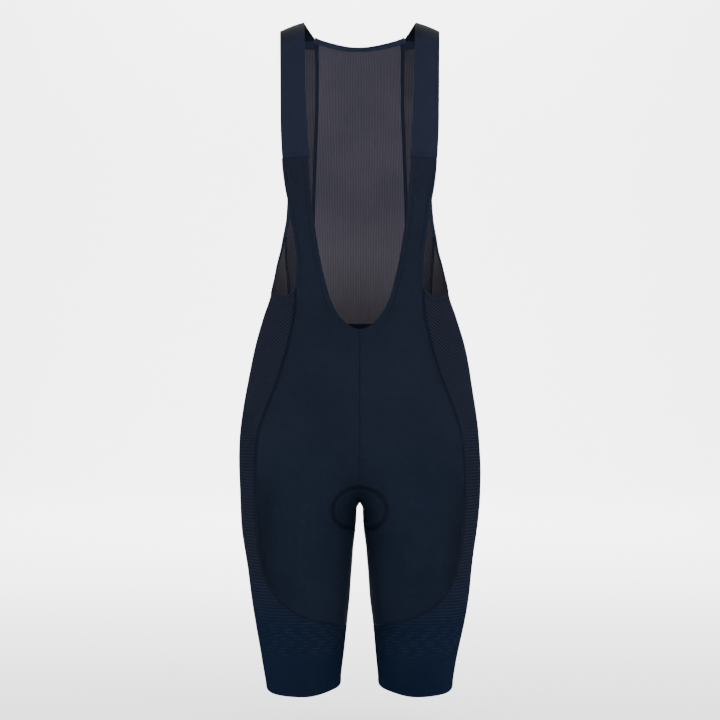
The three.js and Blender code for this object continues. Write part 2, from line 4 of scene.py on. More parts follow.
import bpy
import numpy as np
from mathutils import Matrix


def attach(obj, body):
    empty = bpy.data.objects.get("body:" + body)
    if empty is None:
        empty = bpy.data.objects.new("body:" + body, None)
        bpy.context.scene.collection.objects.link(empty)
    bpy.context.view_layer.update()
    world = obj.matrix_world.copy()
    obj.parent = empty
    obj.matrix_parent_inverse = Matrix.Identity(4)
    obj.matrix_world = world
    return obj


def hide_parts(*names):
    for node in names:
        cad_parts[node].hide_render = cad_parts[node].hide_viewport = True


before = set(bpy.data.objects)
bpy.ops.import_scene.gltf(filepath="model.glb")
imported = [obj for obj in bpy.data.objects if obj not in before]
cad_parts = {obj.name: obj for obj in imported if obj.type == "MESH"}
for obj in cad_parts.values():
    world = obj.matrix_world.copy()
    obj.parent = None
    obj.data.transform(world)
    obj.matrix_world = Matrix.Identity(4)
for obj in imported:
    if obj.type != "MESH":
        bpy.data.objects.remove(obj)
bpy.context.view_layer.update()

bl_info = {
    "name": "Cycling bib shorts",
    "version": (1, 0, 0),
    "blender": (4, 5, 0),
    "location": "View3D > Sidebar > Bib shorts",
    "description": "Builds the cloth, mesh, elastic and seams of a pair of cycling bib shorts",
    "category": "Object",
}

MM = 0.001

# Heights in the tables are in millimetres above the outer side of the leg hem.
SHOULDER_LEVEL = 921.0

# The general figure the garment is cut for. Each row is a section across the body: its height, and how
# far it reaches out at the side, in at the inside leg, to the front and to the back.
FORM = np.array([
    (-12, 128, 28, 57, 59),
    (3, 130.2, 27, 58, 60),
    (25, 133.7, 25.2, 59, 62),
    (48, 137.6, 23.1, 61, 65),
    (92, 146, 19.6, 66, 72),
    (137, 154, 14, 72, 79),
    (182, 160, 9.8, 78, 87),
    (227, 165, 6.6, 85, 96),
    (249, 166.6, 5.6, 88, 101),
    (259, 167.3, 1.9, 90, 103),
    (272, 168, 0, 91, 105),
    (305, 169.4, 0, 95, 110),
    (339, 168, 0, 98, 112),
    (384, 163.8, 0, 101, 108),
    (428, 156.8, 0, 100, 99),
    (473, 147, 0, 96, 88),
    (518, 134.4, 0, 92, 80),
    (550, 124.5, 0, 90, 77),
    (587, 120, 0, 89, 76),
    (634, 122.5, 0, 91, 79),
    (680, 128, 0, 95, 84),
    (731, 131, 0, 98, 89),
    (780, 133, 0, 98, 93),
    (830, 132, 0, 92, 94),
    (870, 129, 0, 78, 88),
    (890, 127, 0, 68, 79),
    (902, 126, 0, 60, 70),
    (915, 124, 0, 50, 57),
], float)
SQUARENESS = 2.3
LEG_JOIN_TOP = 350.0
LEG_JOIN_FOOT = 250.0
CROTCH_LEVEL = 259.0
CLEFT_ROUNDING = 8.0
CLEFT_RISE = 40.0
CROTCH_BLEND = 60.0
CENTRE_SHIFT_FOOT = 260.0
CENTRE_SHIFT_RISE = 200.0
BEYOND_BODY = 230.0
HALVINGS = 40
TURN_LIMIT = 1.5
PROBE = 0.6
KNOT_STEPS = 12
PAD_KNOT_STEPS = 24
CENTRE_STEPS = 200
GRID_STEPS = 2000
FINE_RUN_IN = 0.04
# Turns are drawn to the inseam by this power, and close edge rows take at most one part in this of a line.
DRAW_POWER = 8
EDGE_PART = 2.6

# Seams and edges of one half, as reach from the centre line and height. The first three lie in front,
# the knee seam goes round both, and the rest lie behind.
FORE, AFT = -1.0, 1.0
SCOOP_EDGE = [
    (69.6, 733), (68.3, 712), (66.3, 687.7), (65.2, 667.4), (62.4, 644.4),
    (58.9, 622.6), (55.7, 603.5), (51.8, 584.5), (46.6, 562.6), (40.4, 540.8),
    (33.6, 525.8), (25.4, 513.5), (15.9, 504.7), (7.8, 500.2), (0, 498.5),
]
BIB_OUTER_EDGE = [
    (106.6, 733), (105.1, 714), (102.4, 692.1), (98.4, 670.1), (94.8, 645.5),
    (91, 623.5), (88.2, 601.6), (87.3, 582.4), (88, 556),
]
FRONT_SEAM = [
    (88, 556), (88.6, 531.6), (90.5, 513.8), (94.5, 494.7), (99.9, 470.1),
    (109.5, 438.8), (118.5, 414.2), (128.9, 388.1), (136.9, 364.7),
    (141.2, 342.7), (142.9, 319.4), (143.1, 271.7), (142.2, 227.7),
    (138.9, 191.7), (130.6, 158.9),
]
KNEE_SEAM = [
    (130.6, 158.9), (116.7, 134.7), (98.2, 115.8), (79, 104.8), (58.6, 97.4),
    (40.9, 92.7), (27, 88.5),
]
WEDGE_SEAM = [(106.5, 627), (105, 594.2), (101.8, 551.8), (100.2, 508)]
BACK_SEAM = [
    (100.2, 508), (102, 490), (105.5, 470), (113, 438.8), (121, 414.2),
    (130.5, 388.1), (137.5, 364.7), (141.5, 342.7), (143, 319.4), (143.1, 271.7),
    (142.2, 227.7), (138.9, 191.7), (130.6, 158.9),
]
PRINCESS_SEAM = [
    (61.6, 900.8), (61.6, 877.4), (61.7, 836.7), (62.6, 799.2), (64.7, 751.4),
    (65.9, 709.3), (67.1, 665.9), (68.2, 600), (69, 508),
]
NECK_EDGE = [
    (61.6, 909.8), (52, 907), (42, 904.5), (28, 901.7), (14, 900), (0, 899.4),
]

# The armhole edge: reach, depth, height and how wide its binding is there.
ARMHOLE_BACK = [
    (98.2, 49, 900.8, 5.4), (99.5, 61, 850, 5.4), (101, 64, 800, 5.4), (102, 62, 750, 5.4),
    (103, 58.5, 705, 5.4), (103.7, 55.1, 677.5, 5.4), (105, 50.2, 655.8, 5), (108.6, 42, 632.5, 4.4),
]
ARMHOLE_WEDGE = [
    (108.6, 42, 632.5, 4.4), (112.9, 33.1, 609.4, 3.8), (117.8, 18.4, 586.1, 3.1), (121, 9, 569.5, 2.3),
]
ARMHOLE_FOOT = [
    (121, 9, 569.5, 2.3), (122.4, 0, 559.5, 0), (121.5, -14, 553, 0), (117.5, -28, 549.4, 0),
    (110.5, -46, 546.2, 0), (102.6, -57, 545.2, 0), (93.5, -65.5, 550, 0), (88, -68, 556, 0),
]
# The leg hem: its turn round the leg from the inseam, and its height.
LEG_HEM = [(-1, 5), (-0.75, 0), (-0.5, -7), (-0.25, -5), (0, -1), (0.25, -4), (0.5, -6), (0.75, 0), (1, 5)]
# The bindings reach this far over the cloth, and the neck's runs on to the strap.
BINDING_OVERLAP = 1.2
NECK_WIDE_STOP = (67, 911.2)
WAIST_LEVEL = 508.0
KNEE_LEVEL = 86.0

# The strap: inner edge x, y, height, outer edge x, y, height, and its crown across.
STRAP_PATH = [
    (69.8, -87, 733.5, 106.5, -64.3, 733.5, 2.5), (71.1, -87.1, 770, 108.5, -63.9, 770, 2.4),
    (74.2, -81.4, 823, 109.3, -59.2, 822, 2.2), (75, -69, 866, 109.9, -48.3, 862, 1.8),
    (75.6, -58, 890, 110.3, -40, 884, 1.5), (76.3, -43, 911, 110.8, -28, 901, 1.2),
    (77.2, -22, 924.5, 111.4, -12, 913, 1), (78, 2, 929, 111.6, 5, 917, 1),
    (74.5, 26, 926.5, 109.5, 22, 916, 1.2), (69.5, 42, 920.5, 105.5, 35, 911.5, 1.5),
    (63.8, 54.5, 913, 100.5, 44, 906.5, 1.8), (62.4, 63.6, 901.3, 98, 49.3, 901.3, 2.1),
]

# How many steps each run of edge has, so that rows meet across a panel.
BIB, SCOOP_FOOT, CENTRE_FRONT, INSEAM, SEAM, WEDGE, BACK, CENTRE_BACK = 9, 4, 10, 7, 21, 5, 16, 9
KNEE, CUFF, MESH_SIDE, MESH_HALF, ARM_BACK, ARM_WEDGE, ARM_FOOT = 10, 4, 4, 6, 9, 7, 13
SUBSTEPS = 8

# Distances in mm from a panel's edge where its rows and columns lie closest.
EDGE_OFFSETS = np.array([0, 0.4, 0.9, 1.6, 2.6, 4.0, 5.6, 6.6, 7.5, 8.4, 9.6])
BAND_OFFSETS = np.array([0, 0.3, 0.8, 1.5])


def ease(share):
    held = np.clip(share, 0, 1)
    return held * held * (3 - 2 * held)


def unit(vectors):
    return vectors / np.linalg.norm(vectors, axis=-1, keepdims=True)


def read_off(places, stations, table):
    """Rows of a table at places between its own, by the station of each row."""
    return np.stack([np.interp(places, stations, column) for column in table.T], -1)


def steady(places, values):
    """A curve through table values that never swings past them."""
    places = np.asarray(places, float)
    values = np.asarray(values, float)
    spans = np.diff(places)
    slopes = np.diff(values) / spans
    leans = np.zeros(len(places))
    leans[0] = slopes[0]
    leans[-1] = slopes[-1]
    for index in range(1, len(places) - 1):
        before, after = slopes[index - 1], slopes[index]
        if before * after > 0:
            total = 3 * (spans[index - 1] + spans[index])
            leans[index] = total / (
                (2 * spans[index] + spans[index - 1]) / before
                + (spans[index] + 2 * spans[index - 1]) / after
            )

    def curve(asked):
        place = np.clip(np.asarray(asked, float), places[0], places[-1])
        index = np.clip(np.searchsorted(places, place) - 1, 0, len(places) - 2)
        span = spans[index]
        share = (place - places[index]) / span
        rest = 1 - share
        return (
            (1 + 2 * share) * rest * rest * values[index]
            + share * rest * rest * span * leans[index]
            + share * share * (3 - 2 * share) * values[index + 1]
            - share * share * rest * span * leans[index + 1]
        )

    return curve


OUTER, INNER, FRONT, BEHIND = (steady(FORM[:, 0], FORM[:, column]) for column in range(1, 5))
HEM_HEIGHT = steady([stop[0] for stop in LEG_HEM], [stop[1] for stop in LEG_HEM])


def section(height):
    """The sizes of the body's section at each height."""
    outer, inner, front, behind = OUTER(height), INNER(height), FRONT(height), BEHIND(height)
    return {
        "outer": outer,
        "front": front,
        "behind": behind,
        "leg_middle": (outer + inner) / 2,
        "leg_half": (outer - inner) / 2,
        "depth_middle": (behind - front) / 2,
        "depth_half": (behind + front) / 2,
        "leg_share": ease((LEG_JOIN_TOP - height) / (LEG_JOIN_TOP - LEG_JOIN_FOOT)),
        "rounding": CLEFT_ROUNDING * ease((height - CROTCH_LEVEL) / CLEFT_RISE),
        "centre": (outer + inner) / 2 * (1 - ease((height - CENTRE_SHIFT_FOOT) / CENTRE_SHIFT_RISE)),
    }


def rounded(across, along):
    return (np.abs(across) ** SQUARENESS + np.abs(along) ** SQUARENESS) ** (1 / SQUARENESS)


def beyond(x, y, cut):
    """Below zero inside the body, above zero outside it."""
    side = np.hypot(x, cut["rounding"])
    torso = rounded(side / cut["outer"], y / np.where(y < 0, cut["front"], cut["behind"])) - 1
    across_leg = (side - cut["leg_middle"]) / cut["leg_half"]
    leg = rounded(across_leg, (y - cut["depth_middle"]) / cut["depth_half"]) - 1
    return (1 - cut["leg_share"]) * torso + cut["leg_share"] * leg


def edge_along(start_x, start_y, step_x, step_y, cut):
    """How far from a start inside the body its edge lies along a direction."""
    near = np.zeros(np.broadcast(start_x, start_y, step_x, step_y, cut["outer"]).shape)
    own_half = (step_x < 0) & (start_x > 1)
    to_centre = -start_x / np.where(own_half, step_x, -1)
    far = near + np.where(own_half, np.minimum(BEYOND_BODY, to_centre), BEYOND_BODY)
    for _ in range(HALVINGS):
        middle = (near + far) / 2
        inside = beyond(start_x + step_x * middle, start_y + step_y * middle, cut) < 0
        near = np.where(inside, middle, near)
        far = np.where(inside, far, middle)
    return near


def last_angle(height, side, cut):
    """The angle at which the centre line or the inseam lies, on the front or the back."""
    start = cut["centre"]
    reach = edge_along(0 * start, cut["depth_middle"], 0 * start, side, cut)
    angle = np.arctan2(reach * side, -start) * side
    return np.where(height <= CROTCH_LEVEL, math.pi, angle)


def angle_of(amount, last, height):
    """The angle for an amount of turn: even, but drawn towards the inseam just above the crotch."""
    drawn = amount * (1 - np.minimum(amount, 1) ** DRAW_POWER)
    return last * amount + (math.pi - last) * drawn * (1 - ease((height - CROTCH_LEVEL) / CROTCH_BLEND))


def on_form(turn, height):
    """Points on the body for turns (-1 centre front, 0 side, 1 centre back) and heights."""
    turn = np.asarray(turn, float)
    height = np.asarray(height, float)
    cut = section(height)
    side = np.where(turn < 0, -1.0, 1.0)
    angle = side * angle_of(np.abs(turn), last_angle(height, side, cut), height)
    step_x, step_y = np.cos(angle), np.sin(angle)
    reach = edge_along(cut["centre"], cut["depth_middle"], step_x, step_y, cut)
    return np.stack([cut["centre"] + step_x * reach, cut["depth_middle"] + step_y * reach, height], -1)


def place_of(points):
    """The turn and height of points near the body, as columns."""
    points = np.asarray(points, float)
    height = points[..., 2]
    cut = section(height)
    angle = np.arctan2(points[..., 1] - cut["depth_middle"], points[..., 0] - cut["centre"])
    side = np.where(angle < 0, -1.0, 1.0)
    last = last_angle(height, side, cut)
    low = np.zeros(angle.shape)
    high = np.full(angle.shape, TURN_LIMIT)
    for _ in range(HALVINGS):
        middle = (low + high) / 2
        short = angle_of(middle, last, height) < np.abs(angle)
        low = np.where(short, middle, low)
        high = np.where(short, high, middle)
    return np.stack([side * low, height], -1)


def outward(points):
    """The body's outward direction at points on it."""
    x, y, z = points[..., 0], points[..., 1], points[..., 2]
    here, above, below = section(z), section(z + PROBE), section(z - PROBE)
    return unit(np.stack([
        beyond(x + PROBE, y, here) - beyond(x - PROBE, y, here),
        beyond(x, y + PROBE, here) - beyond(x, y - PROBE, here),
        beyond(x, y, above) - beyond(x, y, below),
    ], -1))


def on_body(table, side=None):
    """Table rows as points on the body, on its front or back, or by their own depth."""
    points = np.array(table, float)[:, :3]
    if side:
        across, height = points.T
        cut = section(height)
        reach = edge_along(across, cut["depth_middle"], 0 * across, side, cut)
        points = np.stack([across, cut["depth_middle"] + side * reach, height], -1)
    return on_form(*place_of(points).T)


def smooth_curve(knots, per_knot=KNOT_STEPS):
    """A centripetal curve through knots."""
    knots = np.asarray(knots, float)
    ends = np.vstack([2 * knots[0] - knots[1], knots, 2 * knots[-1] - knots[-2]])
    share = (np.arange(per_knot) / per_knot)[:, None]
    parts = []
    for index in range(1, len(ends) - 2):
        a, b, c, d = ends[index - 1:index + 3]
        first, middle, last = (max(1e-4, np.linalg.norm(step) ** 0.5) for step in (b - a, c - b, d - c))
        leave = ((b - a) / first - (c - a) / (first + middle) + (c - b) / middle) * middle
        arrive = ((c - b) / middle - (d - b) / (middle + last) + (d - c) / last) * middle
        bend = -3 * b + 3 * c - 2 * leave - arrive
        twist = 2 * b - 2 * c + leave + arrive
        parts.append(b + leave * share + bend * share ** 2 + twist * share ** 3)
    return np.vstack(parts + [knots[-1:]])


def lengths_along(points):
    return np.concatenate([[0], np.cumsum(np.linalg.norm(np.diff(points, axis=0), axis=1))])


def divide(places, steps):
    """Shares a run of places into steps of equal length on the cloth."""
    lengths = lengths_along(on_form(places[:, 0], places[:, 1]))
    return read_off(np.linspace(0, lengths[-1], steps + 1), lengths, places)


def table_run(table, steps, side=None):
    return divide(place_of(smooth_curve(on_body(table, side))), steps * SUBSTEPS)


def centre_run(top, side, steps):
    share = np.linspace(1, 0, CENTRE_STEPS)
    places = np.stack([np.full(CENTRE_STEPS, side), CROTCH_LEVEL + (top - CROTCH_LEVEL) * share ** 2], -1)
    return divide(places, steps * SUBSTEPS)


def level_run(start, end, steps):
    return np.linspace(start, end, steps * SUBSTEPS + 1)


def joined(*runs):
    return np.vstack([runs[0]] + [run[1:] for run in runs[1:]])


def knee_run(side):
    end = on_form(np.array([side]), np.array([KNEE_LEVEL]))
    places = place_of(smooth_curve(np.vstack([on_body(KNEE_SEAM, side), end])))
    places[:, 0] = side * np.abs(places[:, 0])
    return divide(places, KNEE * SUBSTEPS)


def armhole_run(table, steps, overlap=0.0):
    """The free edge of an armhole, and the edge of the cloth inside its binding."""
    free = table_run(table, steps)
    width = overlap + steady([-stop[2] for stop in table], [stop[3] for stop in table])(-free[:, 1])
    points = on_form(free[:, 0], free[:, 1])
    side = unit(np.cross(np.gradient(points, axis=0), outward(points)))
    return free, place_of(points - side * width[:, None])


def build_runs():
    """Every seam and edge of one half, as runs of places."""
    runs = {
        "bib": table_run(BIB_OUTER_EDGE, BIB, FORE),
        "front_seam": table_run(FRONT_SEAM, SEAM, FORE),
        "front_knee": knee_run(FORE),
        "back_knee": knee_run(AFT),
        "wedge": table_run(WEDGE_SEAM, WEDGE, AFT),
        "back_seam": table_run(BACK_SEAM, BACK, AFT),
        "princess": table_run(PRINCESS_SEAM, ARM_BACK + WEDGE, AFT),
        "scoop": table_run(SCOOP_EDGE, BIB + SCOOP_FOOT, FORE),
        "centre_front": centre_run(SCOOP_EDGE[-1][1], FORE, CENTRE_FRONT),
        "centre_back": centre_run(WAIST_LEVEL, AFT, CENTRE_BACK),
        "front_inseam": level_run((-1, CROTCH_LEVEL), (-1, KNEE_LEVEL), INSEAM),
        "back_inseam": level_run((1, CROTCH_LEVEL), (1, KNEE_LEVEL), INSEAM),
        "front_cuff": level_run((-1, KNEE_LEVEL), (-1, LEG_HEM[0][1]), CUFF),
        "back_cuff": level_run((1, KNEE_LEVEL), (1, LEG_HEM[-1][1]), CUFF),
        "neck": table_run(NECK_EDGE, MESH_HALF, AFT),
    }
    free_back, cloth_back = armhole_run(ARMHOLE_BACK, ARM_BACK)
    free_wedge, cloth_wedge = armhole_run(ARMHOLE_WEDGE, ARM_WEDGE)
    cloth_wedge[0] = cloth_back[-1]
    runs["wedge"][0] = cloth_back[-1]
    foot = table_run(ARMHOLE_FOOT, ARM_FOOT)
    foot[0] = cloth_wedge[-1]
    foot[-1] = runs["front_seam"][0]
    runs["arm_free"] = joined(free_back, free_wedge)
    over_back = armhole_run(ARMHOLE_BACK, ARM_BACK, BINDING_OVERLAP)[1]
    runs["arm_covered"] = joined(over_back, armhole_run(ARMHOLE_WEDGE, ARM_WEDGE, BINDING_OVERLAP)[1])
    runs["neck_wide"] = table_run([NECK_WIDE_STOP] + NECK_EDGE[1:], MESH_HALF, AFT)
    runs["arm_cloth_back"] = cloth_back
    runs["arm_cloth_wedge"] = cloth_wedge
    runs["arm_foot"] = foot
    runs["waist_side"] = level_run(runs["back_seam"][0], runs["princess"][-1], MESH_SIDE)
    runs["waist_centre"] = level_run(runs["princess"][-1], runs["centre_back"][0], MESH_HALF)
    runs["waist"] = joined(runs["waist_side"], runs["waist_centre"])
    runs["front_line"] = joined(runs["front_seam"], runs["front_knee"])
    runs["back_line"] = joined(runs["back_seam"], runs["back_knee"])
    runs["inseam_line"] = joined(runs["front_inseam"], runs["front_cuff"])
    turns = np.linspace(-1, 1, (ARM_WEDGE + ARM_FOOT) * SUBSTEPS + 1)
    runs["hem"] = np.stack([turns, HEM_HEIGHT(turns)], -1)
    return runs


RUNS = build_runs()


def at(run, shares):
    """Places at shares of a run, by its steps."""
    return read_off(shares, np.linspace(0, 1, len(run)), run)


def run_length(run):
    return lengths_along(on_form(run[:, 0], run[:, 1]))[-1]


def even(length, spacing, fine=None):
    """Shares of a line about a spacing in mm apart, and closer in one stretch of it."""
    grid = np.linspace(0, 1, GRID_STEPS + 1)
    step = np.full(grid.shape, float(spacing))
    if fine:
        start, end, close = fine
        inside = ease((grid - start) / FINE_RUN_IN + 1) * ease((end - grid) / FINE_RUN_IN + 1)
        step = spacing + (close - spacing) * inside
    counted = np.concatenate([[0], np.cumsum(2 / (step[1:] + step[:-1]))])
    count = max(2, int(round(counted[-1] * length / GRID_STEPS)))
    return np.interp(np.linspace(0, counted[-1], count + 1)[1:-1], counted, grid)


def spread(length, interior, offsets):
    """Shares of a line with close steps at both ends."""
    held = offsets * min(1.0, length / (EDGE_PART * offsets[-1])) / length
    return np.concatenate([held, held[-1] + (1 - 2 * held[-1]) * interior, 1 - held[::-1]])


def fill_net(top, right, bottom, left, down_step, across_step, fine_down=None, fine_across=None,
             offsets=EDGE_OFFSETS, top_power=3, bottom_power=4):
    """A net of points on the body between four runs, with the distance to each edge in mm."""
    length = (run_length(left) + run_length(right)) / 2
    down = spread(length, even(length, down_step, fine_down), offsets)
    starts, ends = at(left, down), at(right, down)

    def row_places(row, over):
        shares = over[:, None]
        level = starts[row] + (ends[row] - starts[row]) * shares
        top_bow = at(top, over) - (top[0] + (top[-1] - top[0]) * shares)
        bottom_bow = at(bottom, over) - (bottom[0] + (bottom[-1] - bottom[0]) * shares)
        return level + (1 - down[row]) ** top_power * top_bow + down[row] ** bottom_power * bottom_bow

    rough = np.linspace(0, 1, 13)
    roughs = np.stack([row_places(row, rough) for row in range(len(down))])
    widths = np.linalg.norm(np.diff(on_form(roughs[..., 0], roughs[..., 1]), axis=1), axis=2).sum(1)
    interior = even(widths.max(), across_step, fine_across)
    overs = np.stack([spread(width, interior, offsets) for width in widths])
    places = np.stack([row_places(row, overs[row]) for row in range(len(down))])
    points = on_form(places[..., 0], places[..., 1])
    across = np.linalg.norm(np.diff(points, axis=1), axis=2)
    along = np.linalg.norm(np.diff(points, axis=0), axis=2)
    from_left = np.hstack([np.zeros((len(down), 1)), np.cumsum(across, axis=1)])
    from_top = np.vstack([np.zeros((1, points.shape[1])), np.cumsum(along, axis=0)])
    return {
        "points": points,
        "away": outward(points),
        "turn": places[..., 0],
        "down": np.repeat(down[:, None], points.shape[1], axis=1),
        "over": overs,
        "left": from_left,
        "right": from_left[:, -1:] - from_left,
        "top": from_top,
        "bottom": from_top[-1:] - from_top,
    }


def mirrored(net):
    """The same net for the other half of the body."""
    other = {name: values[:, ::-1].copy() for name, values in net.items()}
    for name in ("points", "away"):
        other[name][..., 0] *= -1
    other["over"] = 1 - other["over"]
    other["left"], other["right"] = other["right"], other["left"]
    return other


def both_halves(net):
    """One net from side to side, of a half net that ends at the centre line."""
    other = mirrored(net)
    whole = {name: np.hstack([net[name], other[name][:, 1:]]) for name in net}
    middle = net["points"].shape[1] - 1
    whole["points"][:, middle, 0] = 0
    whole["away"][:, middle, 0] = 0
    whole["left"] = np.hstack([net["left"], net["left"][:, -1:] + other["left"][:, 1:]])
    whole["right"] = whole["left"][:, -1:] - whole["left"]
    return whole


# Folds listed one by one: side, start x and height, end x and height, width and depth in mm.
FOLDS = [
    (-1, -92, 700, -84.5, 630, 3.4, 0.9),
    (-1, -77.6, 702, -60, 622, 4.0, 1.0),
    (-1, -100, 720, -96, 655, 2.6, 0.6),
    (-1, -85, 733, -83, 690, 1.9, 0.5),
    (-1, -74, 733, -72, 692, 1.7, 0.45),
    (-1, 93, 704, 85.5, 640, 3.6, 0.9),
    (-1, 79, 705, 62, 626, 3.8, 0.9),
    (-1, 101, 722, 95, 650, 2.8, 0.6),
    (-1, 86, 733, 85, 694, 1.8, 0.45),
    (-1, 73.5, 733, 72, 698, 1.7, 0.45),
    (-1, -66, 600, -46, 520, 9, 0.7),
    (-1, 68, 590, 50, 512, 10, 0.7),
    (-1, -6, 499, -9, 462, 4, 0.6),
    (-1, 4, 499, 7, 470, 3.2, 0.5),
    (-1, -40, 262, -120, 330, 10, 1.1),
    (-1, 42, 264, 118, 338, 10, 1.0),
    (-1, -30, 238, -105, 262, 9, 0.8),
    (-1, 30, 236, 108, 268, 9, 0.8),
    (-1, -46, 300, -112, 380, 13, 0.8),
    (-1, 50, 304, 116, 372, 13, 0.8),
    (1, -38, 255, -120, 300, 11, 1.2),
    (1, 40, 257, 118, 306, 11, 1.1),
    (1, -30, 236, -110, 248, 9, 0.9),
    (1, 30, 236, 110, 252, 9, 0.9),
    (1, -20, 500, -26, 430, 10, 0.7),
    (1, 24, 500, 30, 436, 10, 0.7),
]
# Long shallow waves over all the cloth: wavelength in mm, share along x, y and height, height in mm.
WAVES = [
    (118, 0.8, 0.3, 0.5, 0.5, 0.4), (83, -0.6, 0.4, 0.7, 0.36, 1.9), (61, 0.4, -0.8, 0.45, 0.22, 3.1),
    (149, 0.2, 0.5, -0.84, 0.6, 4.4), (47, 0.7, 0.6, -0.4, 0.14, 5.2),
]


# Between the thighs the cloth stands off, from 0.8 mm at the top to 2 mm further down.
THIGH_TOP = 262.0
THIGH_REACH = 24.0


def drape(points):
    """How far the worn cloth stands off its plain form, in mm, alike on every piece."""
    x, y, height = points[..., 0], points[..., 1], points[..., 2]
    lift = np.zeros(x.shape)
    for length, share_x, share_y, share_z, size, start in WAVES:
        lift += size * np.sin(2 * math.pi / length * (share_x * x + share_y * y + share_z * height) + start)
    inner_thigh = 0.8 + 1.2 * ease((200 - height) / 30)
    lift += inner_thigh * ease((THIGH_TOP - height) / 20) * np.exp(-(x / THIGH_REACH) ** 2)
    for side, start_x, start_z, end_x, end_z, width, depth in FOLDS:
        reach = math.hypot(end_x - start_x, end_z - start_z)
        step_x, step_z = (end_x - start_x) / reach, (end_z - start_z) / reach
        along = ((x - start_x) * step_x + (height - start_z) * step_z) / reach
        across = (height - start_z) * step_x - (x - start_x) * step_z
        held = ease(along / 0.25 + 0.3) * ease((1 - along) / 0.45) * ease((side * y - 6) / 18)
        trough = np.exp(-(across / width) ** 2)
        ridges = np.exp(-((across - 2 * width) / width) ** 2) + np.exp(-((across + 2 * width) / width) ** 2)
        lift += depth * held * (0.4 * ridges - trough)
    return lift


def settle(points, extra=0.0):
    """Moves points of the form out to where the worn cloth lies."""
    return points + outward(points) * (drape(points) + extra)[..., None]


# The edge of the seat pad shows as a stitched ring: reach and height, in front and behind.
PAD_FRONT = [
    (0, 281), (12.5, 279.5), (23.5, 274.5), (31.5, 266.5), (36, 256), (35.2, 244),
    (29, 233.5), (19.5, 226.5),
]
PAD_BACK = [
    (24, 233), (42, 245), (57, 268), (62, 298), (56, 330), (38, 352), (18, 360),
    (0, 362),
]
PAD_INSEAM = 224.0
PAD_SHARES = 12
# The ring's groove, the swelling beside it and the painted shade in it, as depths and widths in mm.
GROOVE_DEPTH = 1.7
GROOVE_WIDTH = 2.5
SWELL_HEIGHT = 0.3
SWELL_WIDTH = 2.6
SWELL_AT = 6
GROOVE_SHADE_WIDTH = 2.9
GROOVE_FADE = 9
SEAM_DIP_WIDTH = 2.3
# A turned edge's second layer, its row of stitches and its fold, as depths and widths in mm.
HEM_LAYER = 0.45
HEM_STEP = 1.4
HEM_STITCH_DEPTH, HEM_STITCH_WIDTH = 0.5, 0.75
HEM_FOLD_DEPTH, HEM_FOLD_WIDTH = 0.7, 0.5
RUN_CHANGE = 0.008


def pad_line():
    """The pad's edge on the right half, from the centre front between the legs to the back."""
    front, back = on_body(PAD_FRONT, FORE), on_body(PAD_BACK, AFT)
    crossing = on_form(np.array([-1.0]), np.array([PAD_INSEAM]))
    front[0, 0] = 0
    back[-1, 0] = 0
    return smooth_curve(np.vstack([front, crossing, back]), PAD_KNOT_STEPS)


PAD_LINE = pad_line()


def pad_distance(points):
    """How far each point is from the stitched ring."""
    own = np.stack([np.abs(points[..., 0]), points[..., 1], points[..., 2]], -1).reshape(-1, 3)
    nearest = np.full(len(own), 1e9)
    for part in np.array_split(PAD_LINE, PAD_SHARES):
        nearest = np.minimum(nearest, np.linalg.norm(own[:, None] - part[None], axis=2).min(1))
    return nearest.reshape(points.shape[:2])


# Painted shade along the pad ring's groove, strongest on the ring.
def pad_groove_shade(points):
    return np.exp(-(pad_distance(points) / GROOVE_SHADE_WIDTH) ** 2)


def pad_groove(points, from_inseam):
    """The stitched channel round the pad, with the cloth swelling a little beside it."""
    nearest = pad_distance(points)
    held = ease(np.where(points[..., 2] < CROTCH_LEVEL, from_inseam / GROOVE_FADE, 1) + 0.1)
    swell = SWELL_HEIGHT * np.exp(-((nearest - SWELL_AT) / SWELL_WIDTH) ** 2)
    return swell - GROOVE_DEPTH * held * np.exp(-(nearest / GROOVE_WIDTH) ** 2)


def seam_dip(distance, depth=0.6):
    return -depth * np.exp(-(distance / SEAM_DIP_WIDTH) ** 2)


def hem_lift(distance, turned):
    """A turned edge: two layers as far as its stitching, rounded at the fold."""
    layers = HEM_LAYER * (1 - ease((distance - turned + 0.9) / HEM_STEP))
    stitched = -HEM_STITCH_DEPTH * np.exp(-((distance - turned) / HEM_STITCH_WIDTH) ** 2)
    return layers + stitched - HEM_FOLD_DEPTH * np.exp(-(distance / HEM_FOLD_WIDTH) ** 2)


def past(shares, place):
    """0 before a place along a panel's edge, and 1 after it."""
    return ease((shares - place) / RUN_CHANGE + 0.5)


# How wide the turned edges are, from the fold to their stitching, in mm.
SCOOP_TURN = 7.5
ARMHOLE_TURN = 6.6
LEG_TURN = 8.4


def as_right(net):
    """The distances of a left-hand net, named as on the right-hand net it mirrors."""
    return {**net, "left": net["right"], "right": net["left"], "over": 1 - net["over"]}


def heights(net):
    return net["points"][..., 2]


def front_lift(net):
    scoop = 1 - past(net["down"], (BIB + SCOOP_FOOT) / (BIB + SEAM))
    bib = 1 - past(net["down"], BIB / (BIB + SEAM))
    lift = scoop * hem_lift(net["left"], SCOOP_TURN) + (1 - scoop) * seam_dip(net["left"], 0.22)
    lift += bib * hem_lift(net["right"], ARMHOLE_TURN) + (1 - bib) * seam_dip(net["right"])
    lift += pad_groove(net["points"], net["left"])
    return lift + seam_dip(net["top"], 0.4) + seam_dip(net["bottom"])


def side_lift(net):
    foot = 1 - past(net["over"], ARM_FOOT / (ARM_FOOT + ARM_WEDGE))
    depth = 0.6 - 0.3 * past(net["down"], 1 - CUFF / (SEAM + KNEE + CUFF))
    lift = foot * hem_lift(net["top"], ARMHOLE_TURN) + hem_lift(net["bottom"], LEG_TURN)
    return lift + seam_dip(net["left"], depth) + seam_dip(net["right"], depth)


